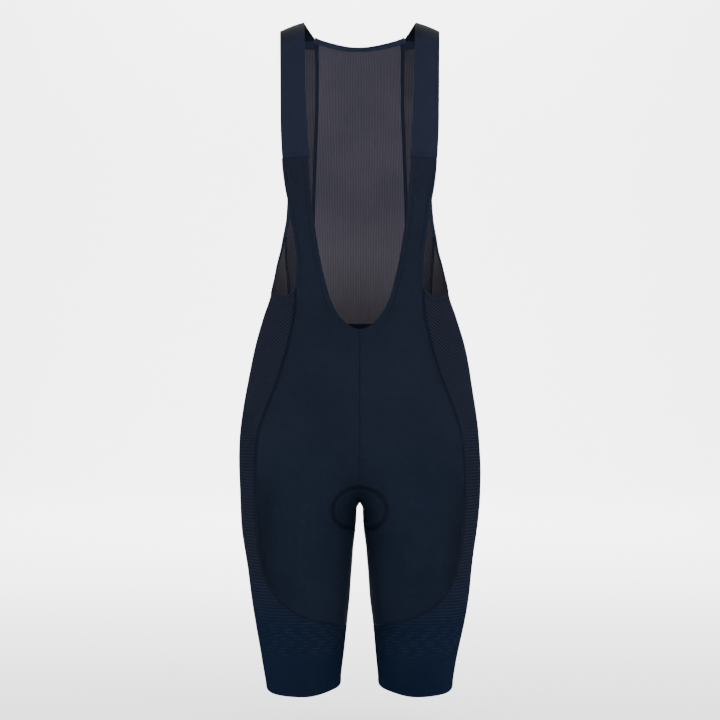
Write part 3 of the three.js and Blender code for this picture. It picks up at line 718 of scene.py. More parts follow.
def back_lift(net):
    lift = seam_dip(net["left"]) + seam_dip(net["right"], 0.35) + seam_dip(net["bottom"])
    return lift + seam_dip(net["top"], 0.5) + pad_groove(net["points"], net["right"])


def mesh_lift(net):
    return seam_dip(net["bottom"], 0.3)


def band_lift(net, first, last):
    """A folded binding: full in the middle and rolled over at both edges."""
    share = net[first] / np.maximum(net[first] + net[last], 1e-6)
    return 0.5 * np.sqrt(np.maximum(4 * share * (1 - share), 0)) - 0.05


def lifted(net, lift):
    return net["points"] + net["away"] * (lift + drape(net["points"]))[..., None]


# The side knit's steep lines: how far apart they are up the body, and how fast they rise.
STEEP_STEP = 6.4
STEEP_RISE = 1.3
# A turn of 1 round the body is about this angle, and the pattern starts this far round in mm.
TURN_ANGLE = 1.9
PATTERN_START = 400
# The front has painted shade within this many mm of its seam on the thigh.
THIGH_SHADE_REACH = 36.0
# Beside the front seam at the hip the lines give way to paler grey, a painted sheen.
SHEEN_PATCH_AT = 400.0
SHEEN_PATCH_REACH = 17.0
SHEEN_PATCH_HEIGHT = 62.0


def flat_pattern(net):
    return np.stack([net["left"], heights(net)], -1)


def side_pattern(net):
    """Distance round the body in mm, and the number of the steep line at each point."""
    height = heights(net)
    cut = section(height)
    around = (cut["leg_half"] + cut["depth_half"]) / 2 * net["turn"] * TURN_ANGLE
    return np.stack([around + PATTERN_START, (height + STEEP_RISE * around) / STEEP_STEP], -1)


def tone_and_light_of(net, *values):
    """Three numbers for a whole net, or an array for each, of tone and of painted light and shade, which its
    material reads.
    """
    return np.stack([np.broadcast_to(value, heights(net).shape) for value in values], -1)


def below(height, top, foot):
    """0 down to the top height, and 1 from the foot height down."""
    return ease((top - height) / (top - foot))


def lowness(height):
    """How far the knit's colour has gone from the paler colour at the bib, 0, to the darker, bluer colour of
    the thigh, 1.
    """
    return 0.25 * below(height, 735, 575) + 0.75 * below(height, 430, 190)


def front_tone_and_light(net):
    """How low on the body, how much painted shade darkens the thigh's outer edge, and how much painted shade
    lies in the pad ring's groove.
    """
    height = heights(net)
    shaded = 0.8 * below(height, 330, 200) * np.exp(-(net["right"] / THIGH_SHADE_REACH) ** 2)
    return tone_and_light_of(net, lowness(height), shaded, pad_groove_shade(net["points"]))


def side_tone_and_light(net):
    """How strongly the steep lines, the dashes and the level lines show, weaker beside the front seam at the
    hip where a painted sheen shows instead.
    """
    height = heights(net)
    steep = 0.75 * (1 - below(height, 404, 364))
    level = 0.45 * below(height, 405, 345) * (1 - 0.4 * below(height, 150, 80)) * (1 - below(height, 60, 36))
    # The patch beside the front seam where the lines give way to painted sheen.
    sheen_patch_height = (height - SHEEN_PATCH_AT) / SHEEN_PATCH_HEIGHT
    sheen_patch = np.exp(-(net["left"] / SHEEN_PATCH_REACH) ** 2 - sheen_patch_height ** 2)
    return tone_and_light_of(net, steep * (1 - 0.75 * sheen_patch), below(height, 108, 82), level * (1 - 0.85 * sheen_patch))


# The back gets the same change of colour down the body, and painted shade in the pad ring's groove.
def back_tone_and_light(net):
    return tone_and_light_of(net, lowness(heights(net)), 0.0, pad_groove_shade(net["points"]))


def mesh_tone_and_light(net, side_shade=1.0):
    """How much painted shade the mesh gets, 1 on its side pieces, and how much painted light, growing low
    down.
    """
    return tone_and_light_of(net, side_shade, below(heights(net), 710, 540), 0.0)


def deselect():
    bpy.ops.object.select_all(action="DESELECT")


def grid_mesh(name, points, pattern, finish):
    """A flat grid laid out on a net of points, with its cloth pattern and its values of tone and of painted
    light and shade.
    """
    rows, columns = points.shape[:2]
    deselect()
    bpy.ops.mesh.primitive_grid_add(
        x_subdivisions=columns - 1, y_subdivisions=rows - 1, size=2, calc_uvs=True, location=(0, 0, 0),
    )
    piece = bpy.context.object
    piece.name = name
    mesh = piece.data
    mesh.name = name
    flat = np.empty(len(mesh.vertices) * 3)
    mesh.vertices.foreach_get("co", flat)
    flat = flat.reshape(-1, 3)
    column = np.rint((flat[:, 0] + 1) / 2 * (columns - 1)).astype(int)
    row = np.rint((1 - flat[:, 1]) / 2 * (rows - 1)).astype(int)
    place = points[row, column] - np.array([0, 0, SHOULDER_LEVEL])
    mesh.vertices.foreach_set("co", (place * MM).astype(np.float32).ravel())
    corner = np.empty(len(mesh.loops), dtype=np.int32)
    mesh.loops.foreach_get("vertex_index", corner)
    mesh.uv_layers[0].name = "Cloth"
    mesh.uv_layers[0].uv.foreach_set("vector", pattern[row, column][corner].astype(np.float32).ravel())
    values = np.ones((len(mesh.vertices), 4))
    values[:, :3] = finish[row, column]
    store = mesh.color_attributes.new(name="finish", type="FLOAT_COLOR", domain="POINT")
    store.data.foreach_set("color", values.astype(np.float32).ravel())
    mesh.update()
    return piece


def dress(piece, *materials):
    piece.data.materials.clear()
    for material in materials:
        piece.data.materials.append(material)
    return piece


def thicken(piece, thickness):
    """Gives a sheet its thickness, towards the wearer."""
    bpy.ops.object.shade_smooth()
    bpy.ops.object.modifier_add(type="SOLIDIFY")
    wall = piece.modifiers[-1]
    wall.thickness = thickness * MM
    wall.offset = -1
    wall.material_offset = len(piece.data.materials) - 1
    bpy.ops.object.modifier_apply(modifier=wall.name)
    bpy.ops.object.shade_smooth_by_angle(angle=math.radians(50))
    return piece


def close_up(piece):
    """Welds a rolled-up net into a closed thread."""
    bpy.ops.object.mode_set(mode="EDIT")
    bpy.ops.mesh.select_all(action="SELECT")
    bpy.ops.mesh.remove_doubles(threshold=1e-6)
    bpy.ops.object.mode_set(mode="OBJECT")
    bpy.ops.object.shade_smooth()
    return piece


def cut_size(points):
    """Greatest width, greatest length and area of a net, in metres."""
    across, along = np.diff(points, axis=1), np.diff(points, axis=0)
    width = np.linalg.norm(across, axis=2).sum(1).max() * MM
    length = np.linalg.norm(along, axis=2).sum(0).max() * MM
    corners = np.cross(across[:-1], along[:, :-1]), np.cross(across[1:], along[:, 1:])
    area = sum(np.linalg.norm(corner, axis=2).sum() for corner in corners) / 2 * MM * MM
    return width, length, area


SEWN = {}


def cloth_piece(name, node, slot, points, pattern, finish, thickness, materials, held):
    """A cut piece of the garment in place of its CAD solid, with a face and perhaps a reverse."""
    shown = [material_for(material) for material in materials]
    piece = thicken(dress(grid_mesh(name, points, pattern, finish), *shown), thickness)
    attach(piece, "root")
    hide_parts(node)
    SEWN[name] = {"piece": piece, "slot": slot, "size": cut_size(points), "held": held, "with": []}
    return piece


def cloth_pair(net, name, node, slot, lift, finish, thickness, materials, held, pattern=flat_pattern):
    """A cut piece for each half, of the right half's net and its mirror image."""
    other = mirrored(net)
    for hand, own, seen in (("right", net, net), ("left", other, as_right(other))):
        cloth_piece(f"{name}_{hand}", f"{node}_{hand}", slot, lifted(own, lift(seen)), pattern(own),
                    finish(seen), thickness, materials, held)


def sewn_on(piece, carrier):
    """A tape or thread that is sewn on a cut piece, and is listed with that piece."""
    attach(piece, "root")
    SEWN[carrier]["with"].append(piece)
    return piece


def srgb(red, green, blue, gain=1.0):
    """A colour as it looks on a screen, as a share of light given back."""
    def channel(value):
        share = value / 255
        return gain * (share / 12.92 if share <= 0.04045 else ((share + 0.055) / 1.055) ** 2.4)
    return (channel(red), channel(green), channel(blue), 1.0)


class Shade:
    """A cloth material while it is put together."""

    def __init__(self, name):
        self.material = bpy.data.materials.new(name)
        self.material.use_nodes = True
        self.tree = self.material.node_tree
        self.shader = self.tree.nodes["Principled BSDF"]

    def node(self, kind, **settings):
        made = self.tree.nodes.new(kind)
        for name, value in settings.items():
            setattr(made, name, value)
        return made

    def put(self, socket, value):
        if isinstance(value, bpy.types.NodeSocket):
            self.tree.links.new(value, socket)
        else:
            socket.default_value = value

    def maths(self, operation, first, second=0.0):
        made = self.node("ShaderNodeMath", operation=operation)
        self.put(made.inputs[0], first)
        self.put(made.inputs[1], second)
        return made.outputs[0]

    times = partialmethod(maths, "MULTIPLY")
    plus = partialmethod(maths, "ADD")
    minus = partialmethod(maths, "SUBTRACT")
    over = partialmethod(maths, "DIVIDE")
    most = partialmethod(maths, "MAXIMUM")
    fraction = partialmethod(maths, "FRACT")

    def rest(self, share):
        return self.minus(1.0, share)

    def weighed(self, first, first_weight, second, second_weight):
        return self.plus(self.times(first, first_weight), self.times(second, second_weight))

    def blend(self, share, first, second):
        made = self.node("ShaderNodeMix", data_type="RGBA")
        self.put(made.inputs[0], share)
        self.put(made.inputs[6], first)
        self.put(made.inputs[7], second)
        return made.outputs[2]

    def tint(self, base, share, strength, colour):
        return self.blend(self.times(share, strength), base, colour)

    def ramp(self, value, low, high):
        made = self.node("ShaderNodeMapRange", interpolation_type="SMOOTHSTEP")
        self.put(made.inputs["Value"], value)
        self.put(made.inputs["From Min"], low)
        self.put(made.inputs["From Max"], high)
        return made.outputs[0]

    def noise(self, scale, detail=3.0):
        made = self.node("ShaderNodeTexNoise")
        self.put(made.inputs["Vector"], self.place())
        self.put(made.inputs["Scale"], scale)
        self.put(made.inputs["Detail"], detail)
        return made.outputs[0]

    def clouds(self, scale):
        return self.ramp(self.noise(scale, 4.0), 0.3, 0.7)

    def place(self):
        return self.node("ShaderNodeTexCoord").outputs["Object"]

    def parts(self, vector):
        split = self.node("ShaderNodeSeparateXYZ")
        self.put(split.inputs[0], vector)
        return split.outputs

    def cloth_axes(self):
        """The cloth's own two directions, in the units its pattern is stored in."""
        return self.parts(self.node("ShaderNodeUVMap", uv_map="Cloth").outputs[0])[:2]

    # The stored values of tone, painted light and painted shade, one in each channel.
    def finish(self):
        split = self.node("ShaderNodeSeparateColor")
        self.put(split.inputs[0], self.node("ShaderNodeAttribute", attribute_name="finish").outputs[0])
        return split.outputs[0], split.outputs[1], split.outputs[2]

    def wave(self, value, period):
        """A soft wave from 0 to 1 along a cloth direction."""
        turned = self.times(value, 2 * math.pi / period)
        return self.times(self.plus(self.maths("SINE", turned), 1.0), 0.5)

    def done(self, colour, roughness, height, distance, strength=1.0, shine=0.03):
        self.put(self.shader.inputs["Base Color"], colour)
        self.put(self.shader.inputs["Roughness"], roughness)
        self.shader.inputs["Specular IOR Level"].default_value = shine
        bump = self.node("ShaderNodeBump")
        self.put(bump.inputs["Height"], height)
        bump.inputs["Distance"].default_value = distance
        bump.inputs["Strength"].default_value = strength
        self.put(self.shader.inputs["Normal"], bump.outputs[0])
        return self.material


def knit_height(shade, across, along):
    """Fine wales and courses of a flat knit, in mm of the pattern."""
    wale = shade.wave(across, 0.9)
    course = shade.wave(shade.plus(along, shade.times(wale, 0.35)), 0.75)
    return shade.weighed(wale, 0.6, course, 0.4)


def body_knit():
    """Matte navy knit of the front and back, with painted shade at the thigh's outer edge and in the pad
    ring's groove.
    """
    shade = Shade("Navy body knit")
    across, along = shade.cloth_axes()
    low, painted_edge_shade, painted_groove_shade = shade.finish()
    base = shade.blend(low, srgb(35, 40, 55, 0.49), srgb(21, 31, 46, 0.56))
    # Painted shade darkens the outer edge of the thigh.
    base = shade.blend(painted_edge_shade, base, srgb(13, 20, 31, 0.3))
    # Painted shade in the pad ring's groove.
    base = shade.tint(base, painted_groove_shade, 0.95, srgb(9, 12, 19, 0.55))
    cloudy = shade.clouds(9.0)
    base = shade.tint(base, cloudy, 0.22, srgb(44, 51, 68, 0.55))
    flecks = shade.ramp(shade.noise(620.0, 2.0), 0.45, 0.75)
    base = shade.tint(base, flecks, 0.14, srgb(58, 65, 82, 0.5))
    rough = shade.plus(0.82, shade.times(cloudy, 0.1))
    return shade.done(base, rough, knit_height(shade, across, along), 0.00018, 0.5)


def knit_line(shade, number):
    """A thin soft-edged line at each whole number."""
    off_middle = shade.maths("ABSOLUTE", shade.minus(shade.fraction(number), 0.5))
    return shade.rest(shade.ramp(off_middle, 0.08, 0.26))


# How far apart the dashes of a line are in mm, and how many of them a line may be shifted by.
DASH_PITCH = 13.0
DASH_SHIFT = 9.0


def broken_line(shade, along, number):
    """Where a broken line shows, each line broken at places of its own."""
    chance = shade.node("ShaderNodeTexWhiteNoise", noise_dimensions="1D")
    shade.put(chance.inputs["W"], shade.maths("FLOOR", number))
    shifted = shade.plus(shade.over(along, DASH_PITCH), shade.times(chance.outputs[0], DASH_SHIFT))
    uneven = shade.times(shade.noise(45.0, 1.0), 0.5)
    return shade.rest(shade.ramp(shade.fraction(shifted), shade.plus(uneven, 0.2), shade.plus(uneven, 0.32)))


# The side knit's level lines are this far apart in metres.
LEVEL_LINE_STEP = 0.0044
# The heights between which the side's knit turns to the cuff's, in metres below the shoulders.
CUFF_STARTS = -0.74
CUFF_WHOLE = -0.83


def lined_knit():
    """Navy side knit with thin paler lines: steep on the hip, level below, broken up in the cuff, and a
    painted sheen of paler grey where the lines give way.
    """
    shade = Shade("Navy lined knit")
    along, steep_number = shade.cloth_axes()
    steep, dashed, level = shade.finish()
    height = shade.parts(shade.place())[2]
    wander = shade.times(shade.minus(shade.noise(38.0, 2.0), 0.5), 0.35)
    level_number = shade.plus(shade.over(height, LEVEL_LINE_STEP), wander)
    steep_line = shade.times(knit_line(shade, shade.plus(steep_number, wander)), steep)
    unbroken = shade.plus(shade.rest(dashed), shade.times(dashed, broken_line(shade, along, level_number)))
    level_line = shade.times(shade.times(knit_line(shade, level_number), unbroken), level)
    patchy = shade.plus(0.7, shade.times(shade.noise(60.0, 3.0), 0.6))
    lines = shade.times(shade.most(steep_line, level_line), patchy)
    cuff = shade.ramp(height, CUFF_STARTS, CUFF_WHOLE)
    # Painted sheen: paler grey where the lines fade, beside the front seam and between the steep and level
    # lines, but not in the cuff; thread holds the real lines and this painted sheen together.
    painted_sheen = shade.most(shade.rest(shade.weighed(steep, 1.33, level, 2.2)), 0.0)
    painted_sheen = shade.times(shade.times(painted_sheen, shade.rest(cuff)), 0.34)
    thread = shade.most(lines, painted_sheen)
    base = shade.blend(cuff, srgb(30, 35, 48, 0.55), srgb(17, 28, 46, 0.7))
    base = shade.tint(base, shade.clouds(10.0), 0.18, srgb(38, 45, 62, 0.5))
    colour = shade.blend(thread, base, srgb(55, 56, 70, 0.56))
    relief = shade.weighed(thread, 0.8, shade.noise(900.0, 2.0), 0.35)
    return shade.done(colour, 0.9, relief, 0.0003, 0.5, 0.0)


def plain_reverse():
    """The plain grey brown inner face of the lined knit."""
    shade = Shade("Plain knit reverse")
    base = shade.tint(srgb(62, 60, 64), shade.clouds(12.0), 0.35, srgb(78, 75, 80))
    return shade.done(base, 0.9, shade.noise(700.0, 2.0), 0.0002, 0.4)


def ribbed_mesh():
    """Grey mauve mesh with fine upright ribs and rows of tiny holes between them, paler low down as painted
    light, darker on the side pieces as painted shade, with painted highlight on the ribs and painted shade in
    the valleys and holes.
    """
    shade = Shade("Grey mauve mesh")
    across, along = shade.cloth_axes()
    outside, low, _ = shade.finish()
    rib = shade.wave(across, 2.4)
    valley = shade.rest(rib)
    hole = shade.times(shade.wave(along, 1.5), valley)
    # Painted light: the mesh is paler low down.
    base = shade.blend(low, srgb(59, 57, 66), srgb(86, 82, 89))
    # Painted shade: the side pieces of the mesh are darker.
    base = shade.blend(outside, base, srgb(37, 36, 43))
    base = shade.tint(base, shade.clouds(14.0), 0.2, srgb(84, 80, 90))
    # Painted highlight on the ribs, and painted shade in the valleys and the holes between them.
    base = shade.tint(base, rib, 0.18, srgb(104, 100, 112))
    base = shade.tint(base, valley, 0.2, srgb(40, 40, 50))
    base = shade.tint(base, hole, 0.3, srgb(24, 26, 34))
    return shade.done(base, 0.9, shade.minus(rib, shade.times(hole, 0.6)), 0.0003, 0.35)


def elastic(name, colour, pale, rib_step):
    """Flat woven elastic with fine ribs along it, with painted highlight on the ribs and painted shade where
    it turns over the shoulder.
    """
    shade = Shade(name)
    across, along = shade.cloth_axes()
    rib = shade.wave(across, rib_step)
    base = shade.tint(srgb(*colour), shade.clouds(16.0), 0.25, srgb(*pale))
    # Painted highlight on the ribs.
    base = shade.tint(base, rib, 0.25, srgb(*pale))
    # Painted shade where the strap turns over the shoulder.
    base = shade.tint(base, shade.finish()[0], 0.85, srgb(8, 11, 18, 0.8))
    height = shade.weighed(rib, 0.7, shade.wave(along, 0.8), 0.3)
    return shade.done(base, 0.78, height, 0.00022, 0.5)


def seam_threads():
    """Dark threads laid side by side across a flat seam, with painted highlight where they stand highest."""
    shade = Shade("Dark seam threads")
    across, along = shade.cloth_axes()
    laid = shade.wave(shade.plus(along, shade.times(across, 0.5)), 0.9)
    # Painted highlight: the threads are paler where they stand highest.
    base = shade.blend(laid, srgb(20, 27, 41, 0.5), srgb(29, 37, 53, 0.5))
    height = shade.plus(laid, shade.times(shade.noise(800.0, 2.0), 0.2))
    return shade.done(base, 0.72, height, 0.0003, 0.7)


def sewing_thread():
    shade = Shade("Dark sewing thread")
    fuzz = shade.noise(1500.0, 2.0)
    base = shade.blend(fuzz, srgb(15, 19, 28), srgb(30, 36, 50))
    return shade.done(base, 0.6, fuzz, 0.00005, 0.4)


MATERIAL_MAKERS = {
    "reverse": plain_reverse,
    "body": body_knit,
    "lined": lined_knit,
    "mesh": ribbed_mesh,
    "strap": lambda: elastic("Navy strap elastic", (26, 30, 43), (35, 40, 56), 1.6),
    "binding": lambda: elastic("Folded edge binding", (33, 38, 54), (45, 51, 68), 1.1),
    "inner_tape": lambda: elastic("Dark inner tape", (23, 26, 39), (34, 38, 53), 1.1),
    "seam": seam_threads,
    "thread": sewing_thread,
}
MATERIALS = {}


def material_for(name):
    if name not in MATERIALS:
        MATERIALS[name] = MATERIAL_MAKERS[name]()
    return MATERIALS[name]


def make_front(settings):
    net = fill_net(
        level_run(RUNS["scoop"][0], RUNS["bib"][0], KNEE),
        joined(RUNS["bib"], RUNS["front_seam"]),
        RUNS["front_knee"][::-1],
        joined(RUNS["scoop"], RUNS["centre_front"], RUNS["front_inseam"]),
        down_step=4.0, across_step=3.2, fine_down=(0.66, 0.92, 1.7), fine_across=(0.0, 0.36, 1.9),
    )
    cloth_pair(net, "front_cloth", "front_panel", "front_panel", front_lift, front_tone_and_light,
               settings.shorts_cloth / MM, ("body",), "stretched")


def make_sides(settings):
    net = fill_net(
        joined(RUNS["arm_cloth_wedge"], RUNS["arm_foot"])[::-1],
        joined(RUNS["wedge"], RUNS["back_line"], RUNS["back_cuff"]),
        RUNS["hem"],
        joined(RUNS["front_line"], RUNS["front_cuff"]),
        down_step=4.0, across_step=3.6, top_power=4, bottom_power=6,
    )
    cloth_pair(net, "side_cloth", "side_panel", "side_panel", side_lift, side_tone_and_light,
               settings.shorts_cloth / MM, ("lined", "reverse"), "stretched", side_pattern)


def make_back(settings):
    net = fill_net(
        RUNS["waist"],
        joined(RUNS["centre_back"], RUNS["back_inseam"]),
        RUNS["back_knee"],
        RUNS["back_seam"],
        down_step=4.0, across_step=3.4, fine_down=(0.34, 0.9, 2.2), fine_across=(0.6, 1.0, 2.2),
    )
    cloth_pair(net, "back_cloth", "back_panel", "back_panel", back_lift, back_tone_and_light,
               settings.shorts_cloth / MM, ("body",), "stretched")


def make_mesh_back(settings):
    thickness = settings.mesh_cloth / MM
    side = fill_net(
        level_run(RUNS["arm_cloth_back"][0], RUNS["princess"][0], MESH_SIDE),
        RUNS["princess"],
        RUNS["waist_side"],
        joined(RUNS["arm_cloth_back"], RUNS["wedge"]),
        down_step=4.0, across_step=2.6,
    )
    cloth_pair(side, "mesh_side_cloth", "back_mesh_side", "mesh", mesh_lift, mesh_tone_and_light,
               thickness, ("mesh",), "hung")
    half = fill_net(
        RUNS["neck"],
        level_run(RUNS["neck"][-1], RUNS["centre_back"][0], ARM_BACK + WEDGE + 1),
        RUNS["waist_centre"],
        joined(level_run(RUNS["neck"][0], RUNS["princess"][0], 1), RUNS["princess"]),
        down_step=4.0, across_step=2.6,
    )
    whole = both_halves(half)
    from_centre = np.hstack([-half["right"], half["right"][:, ::-1][:, 1:]])
    pattern = np.stack([from_centre, heights(whole)], -1)
    cloth_piece("mesh_center_cloth", "back_mesh_center", "mesh", lifted(whole, mesh_lift(whole)), pattern,
                mesh_tone_and_light(whole, 0.0), thickness, ("mesh",), "hung")


NECK_BINDING_WIDTH = 4.6


def no_tone_and_light(net):
    return tone_and_light_of(net, 0.0, 0.0, 0.0)


def make_bindings(settings):
    thickness = settings.binding_cloth / MM
    raised = RUNS["neck_wide"] + np.array([0, NECK_BINDING_WIDTH])
    lowered = RUNS["neck_wide"] - np.array([0, BINDING_OVERLAP])
    neck = both_halves(fill_net(
        raised,
        level_run(raised[-1], lowered[-1], 1),
        lowered,
        level_run(raised[0], lowered[0], 1),
        down_step=1.0, across_step=2.0, offsets=BAND_OFFSETS,
    ))
    face = lifted(neck, band_lift(neck, "top", "bottom"))
    pattern = np.stack([heights(neck), neck["left"]], -1)
    cloth_piece("neck_binding_cloth", "neck_binding", "binding", face, pattern, no_tone_and_light(neck), thickness,
                ("binding",), "hung")
    free = RUNS["arm_free"]
    inner = RUNS["arm_covered"]
    band = fill_net(
        level_run(free[0], inner[0], 1), inner, level_run(free[-1], inner[-1], 1), free,
        down_step=2.5, across_step=1.0, offsets=BAND_OFFSETS,
    )
    cloth_pair(band, "armhole_binding_cloth", "armhole_binding", "binding",
               lambda net: band_lift(net, "left", "right"), no_tone_and_light, thickness, ("binding",), "hung",
               lambda net: np.stack([net["left"], net["top"]], -1))


STRAP_ROWS_PER_STOP = 12
STRAP_STITCH_ROWS = (3.0, 6.0)
STRAP_COLUMNS = np.array(
    [0, 0.012, 0.035, 0.08, 0.15, 0.25, 0.38, 0.5, 0.62, 0.75, 0.85, 0.92, 0.965, 0.988, 1]
)
STRAP_MIDDLE = len(STRAP_COLUMNS) // 2
# The strap gets painted shade from this height, over this many mm, where it turns over the shoulder.
SHADED_CREST_LEVEL = 893.0
SHADED_CREST_RISE = 26.0


def strap_net():
    """The strap's outer face, as rows from the back end over the shoulder to the bib."""
    table = np.array(STRAP_PATH, float)
    inner = smooth_curve(table[:, 0:3], STRAP_ROWS_PER_STOP)
    outer = smooth_curve(table[:, 3:6], STRAP_ROWS_PER_STOP)
    crown = steady(np.linspace(0, 1, len(table)), table[:, 6])(np.linspace(0, 1, len(inner)))
    along = unit(np.gradient(inner, axis=0) + np.gradient(outer, axis=0))
    away = unit(np.cross(unit(outer - inner), along))
    over = STRAP_COLUMNS[None, :, None]
    points = inner[:, None] * (1 - over) + outer[:, None] * over
    shape = crown[:, None] * 4 * STRAP_COLUMNS[None] * (1 - STRAP_COLUMNS[None])
    points = points + away[:, None] * shape[..., None]
    normals = np.repeat(away[:, None], len(STRAP_COLUMNS), axis=1)
    return points[::-1], normals[::-1]


def make_straps(settings):
    points, away = strap_net()
    length = lengths_along(points[:, STRAP_MIDDLE])
    width = np.linalg.norm(points[:, -1] - points[:, 0], axis=1)
    across = STRAP_COLUMNS[None] * width[:, None]
    near_end = np.minimum(length, length[-1] - length)[:, None]
    edge = np.minimum(across, width[:, None] - across)
    lift = 0.3 * np.exp(-(edge / 1.6) ** 2) - 0.6 * np.exp(-(edge / 0.35) ** 2)
    lift = lift - 0.5 * np.exp(-(near_end / 1.6) ** 2)
    pull = np.exp(-(length[-1] - length)[:, None] / 22)
    lift = lift + 0.35 * pull * np.sin(across * 2 * math.pi / 6.1 + 0.8)
    face = points + away * lift[..., None]
    pattern = np.stack([across, np.repeat(length[:, None], across.shape[1], axis=1)], -1)
    # Painted shade on the strap where it turns over the shoulder.
    painted_crest_shade = np.zeros(face.shape)
    painted_crest_shade[..., 0] = ease((face[..., 2] - SHADED_CREST_LEVEL) / SHADED_CREST_RISE)
    for hand, own, own_pattern in (
        ("right", face, pattern), ("left", other_hand(face[:, ::-1]), pattern[:, ::-1]),
    ):
        cloth_piece(f"strap_elastic_{hand}", f"shoulder_strap_{hand}", "strap", own, own_pattern, painted_crest_shade,
                    settings.strap_elastic / MM, ("strap",), "hung")


def line_of(run, step):
    """A run as points on the form, evenly spaced in mm."""
    points = on_form(run[:, 0], run[:, 1])
    lengths = lengths_along(points)
    return read_off(np.linspace(0, lengths[-1], max(4, int(lengths[-1] / step))), lengths, points)


def beside(line, distance):
    """The line moved sideways over the cloth by a distance in mm."""
    return line + unit(np.cross(outward(line), np.gradient(line, axis=0))) * distance


def other_hand(line):
    return line * np.array([-1, 1, 1])


def both_lines(line):
    """The line for each half, kept running so that its left side stays towards the same edge."""
    return (("right", line), ("left", other_hand(line)))


# Places across a tape, from one edge at -1 to the other at 1.
TAPE_COLUMNS = np.array([-1, -0.8, -0.4, 0, 0.4, 0.8, 1])
TAPE_LINE_STEP = 2.5


def tape_piece(name, line, width, height, thickness, carrier, inside=0.0):
    """Seam threads along the outside of the cloth, or a tape inside it."""
    away = outward(line)
    base = line + away * drape(line)[:, None]
    if inside:
        away = -away
        base = base + away * inside
    across = unit(np.cross(away, np.gradient(base, axis=0)))
    crown = height * (1 - TAPE_COLUMNS ** 4) - 0.15
    offsets = TAPE_COLUMNS * width / 2
    points = base[:, None] + across[:, None] * offsets[None, :, None] + away[:, None] * crown[None, :, None]
    pattern = np.stack(np.broadcast_arrays(offsets[None], lengths_along(base)[:, None]), -1)
    material = material_for("inner_tape" if inside else "seam")
    piece = dress(grid_mesh(name, points, pattern, np.zeros(points.shape)), material)
    return sewn_on(thicken(piece, thickness), carrier)


def end_tape(name, points, away, rows, spare, depth, hand):
    """A facing inside the end of the strap, over its first rows and on past its end."""
    step = unit(points[0] - points[1])
    net = np.concatenate([(points[0] + step * spare)[None], points[:rows]])
    normals = np.concatenate([away[:1], away[:rows]])
    face = net - normals * depth
    if hand == "left":
        face = other_hand(face[:, ::-1])
    piece = dress(grid_mesh(name, face, face[..., [0, 2]], np.zeros(face.shape)), material_for("strap"))
    return sewn_on(thicken(piece, 0.5), f"strap_elastic_{hand}")


# Flat threads over the seams: run, width and height in mm, and the piece that carries them.
SEAM_THREADS = {
    "front_seam": ("front_line", 3.8, -0.15, "front_cloth"),
    "back_seam": ("back_line", 3.0, -0.15, "back_cloth"),
    "wedge_seam": ("wedge", 2.6, -0.15, "side_cloth"),
    "inseam": ("inseam_line", 2.2, -0.15, "front_cloth"),
    "waist_seam": ("waist", 3.2, -0.15, "back_cloth"),
    "princess_seam": ("princess", 2.4, 0.1, "mesh_side_cloth"),
}
WAIST_TAPE_DROP = 3.2
PRINCESS_TAPE_RISE = 2.6
# Rows of the strap that a facing covers at its back end and its bib end, and how far it runs on.
BACK_FACING = (12, 2.5)
BIB_FACING = (4, 4.0)


def make_tapes(settings):
    for name, (run, width, height, carrier) in SEAM_THREADS.items():
        for hand, line in both_lines(line_of(RUNS[run], TAPE_LINE_STEP)):
            tape_piece(f"{name}_threads_{hand}", line, width, height, 0.5, f"{carrier}_{hand}")
    for name, carrier in (("centre_front", "front_cloth_right"), ("centre_back", "back_cloth_right")):
        line = line_of(RUNS[name], TAPE_LINE_STEP)
        line[:, 0] = 0
        tape_piece(f"{name}_threads", line, 1.2, 0.05, 0.4, carrier)
    tape_top = RUNS["neck"][0] + np.array([0, PRINCESS_TAPE_RISE])
    to_neck = joined(level_run(tape_top, RUNS["princess"][0], 1), RUNS["princess"])
    princess, wedge, waist = (line_of(run, TAPE_LINE_STEP) for run in (to_neck, RUNS["wedge"], RUNS["waist"]))
    waist = waist - np.array([0, 0, WAIST_TAPE_DROP])
    inside_mesh, inside_shorts = settings.mesh_cloth / MM, settings.shorts_cloth / MM
    for name, line, width, height, thickness, carrier, inside in (
        ("princess_tape", princess, 5.2, 0.35, 0.5, "mesh_side_cloth", inside_mesh + 0.35),
        ("wedge_tape", wedge, 4.4, 0.35, 0.5, "side_cloth", inside_shorts + 0.35),
        ("waist_tape", waist, 8.0, 0.4, 0.6, "back_cloth", inside_shorts + 0.6),
    ):
        for hand, own in both_lines(line):
            tape_piece(f"{name}_{hand}", own, width, height, thickness, f"{carrier}_{hand}", inside)
    points, away = strap_net()
    depth = settings.strap_elastic / MM + 0.15
    for hand in ("right", "left"):
        end_tape(f"strap_back_facing_{hand}", points, away, *BACK_FACING, depth, hand)
        bib_end = end_tape(f"strap_bib_facing_{hand}", points[::-1], away[::-1], *BIB_FACING, depth, hand)
        bib_end.data.flip_normals()


# One stitch: places along it as shares of the pitch, and how high the thread lies there in mm.
STITCH_SHARES = np.array([0, 0.1, 0.36, 0.62, 0.74, 0.87])
STITCH_HEIGHTS = np.array([-0.35, 0.1, 0.18, 0.1, -0.35, -0.6])
STITCH_LINE_STEP = 1.5
THREAD_SIDES = 5
THREAD_RADIUS = 0.2
PAD_THREAD_RADIUS = 0.26
PAD_THREAD_LEVEL = -1.5
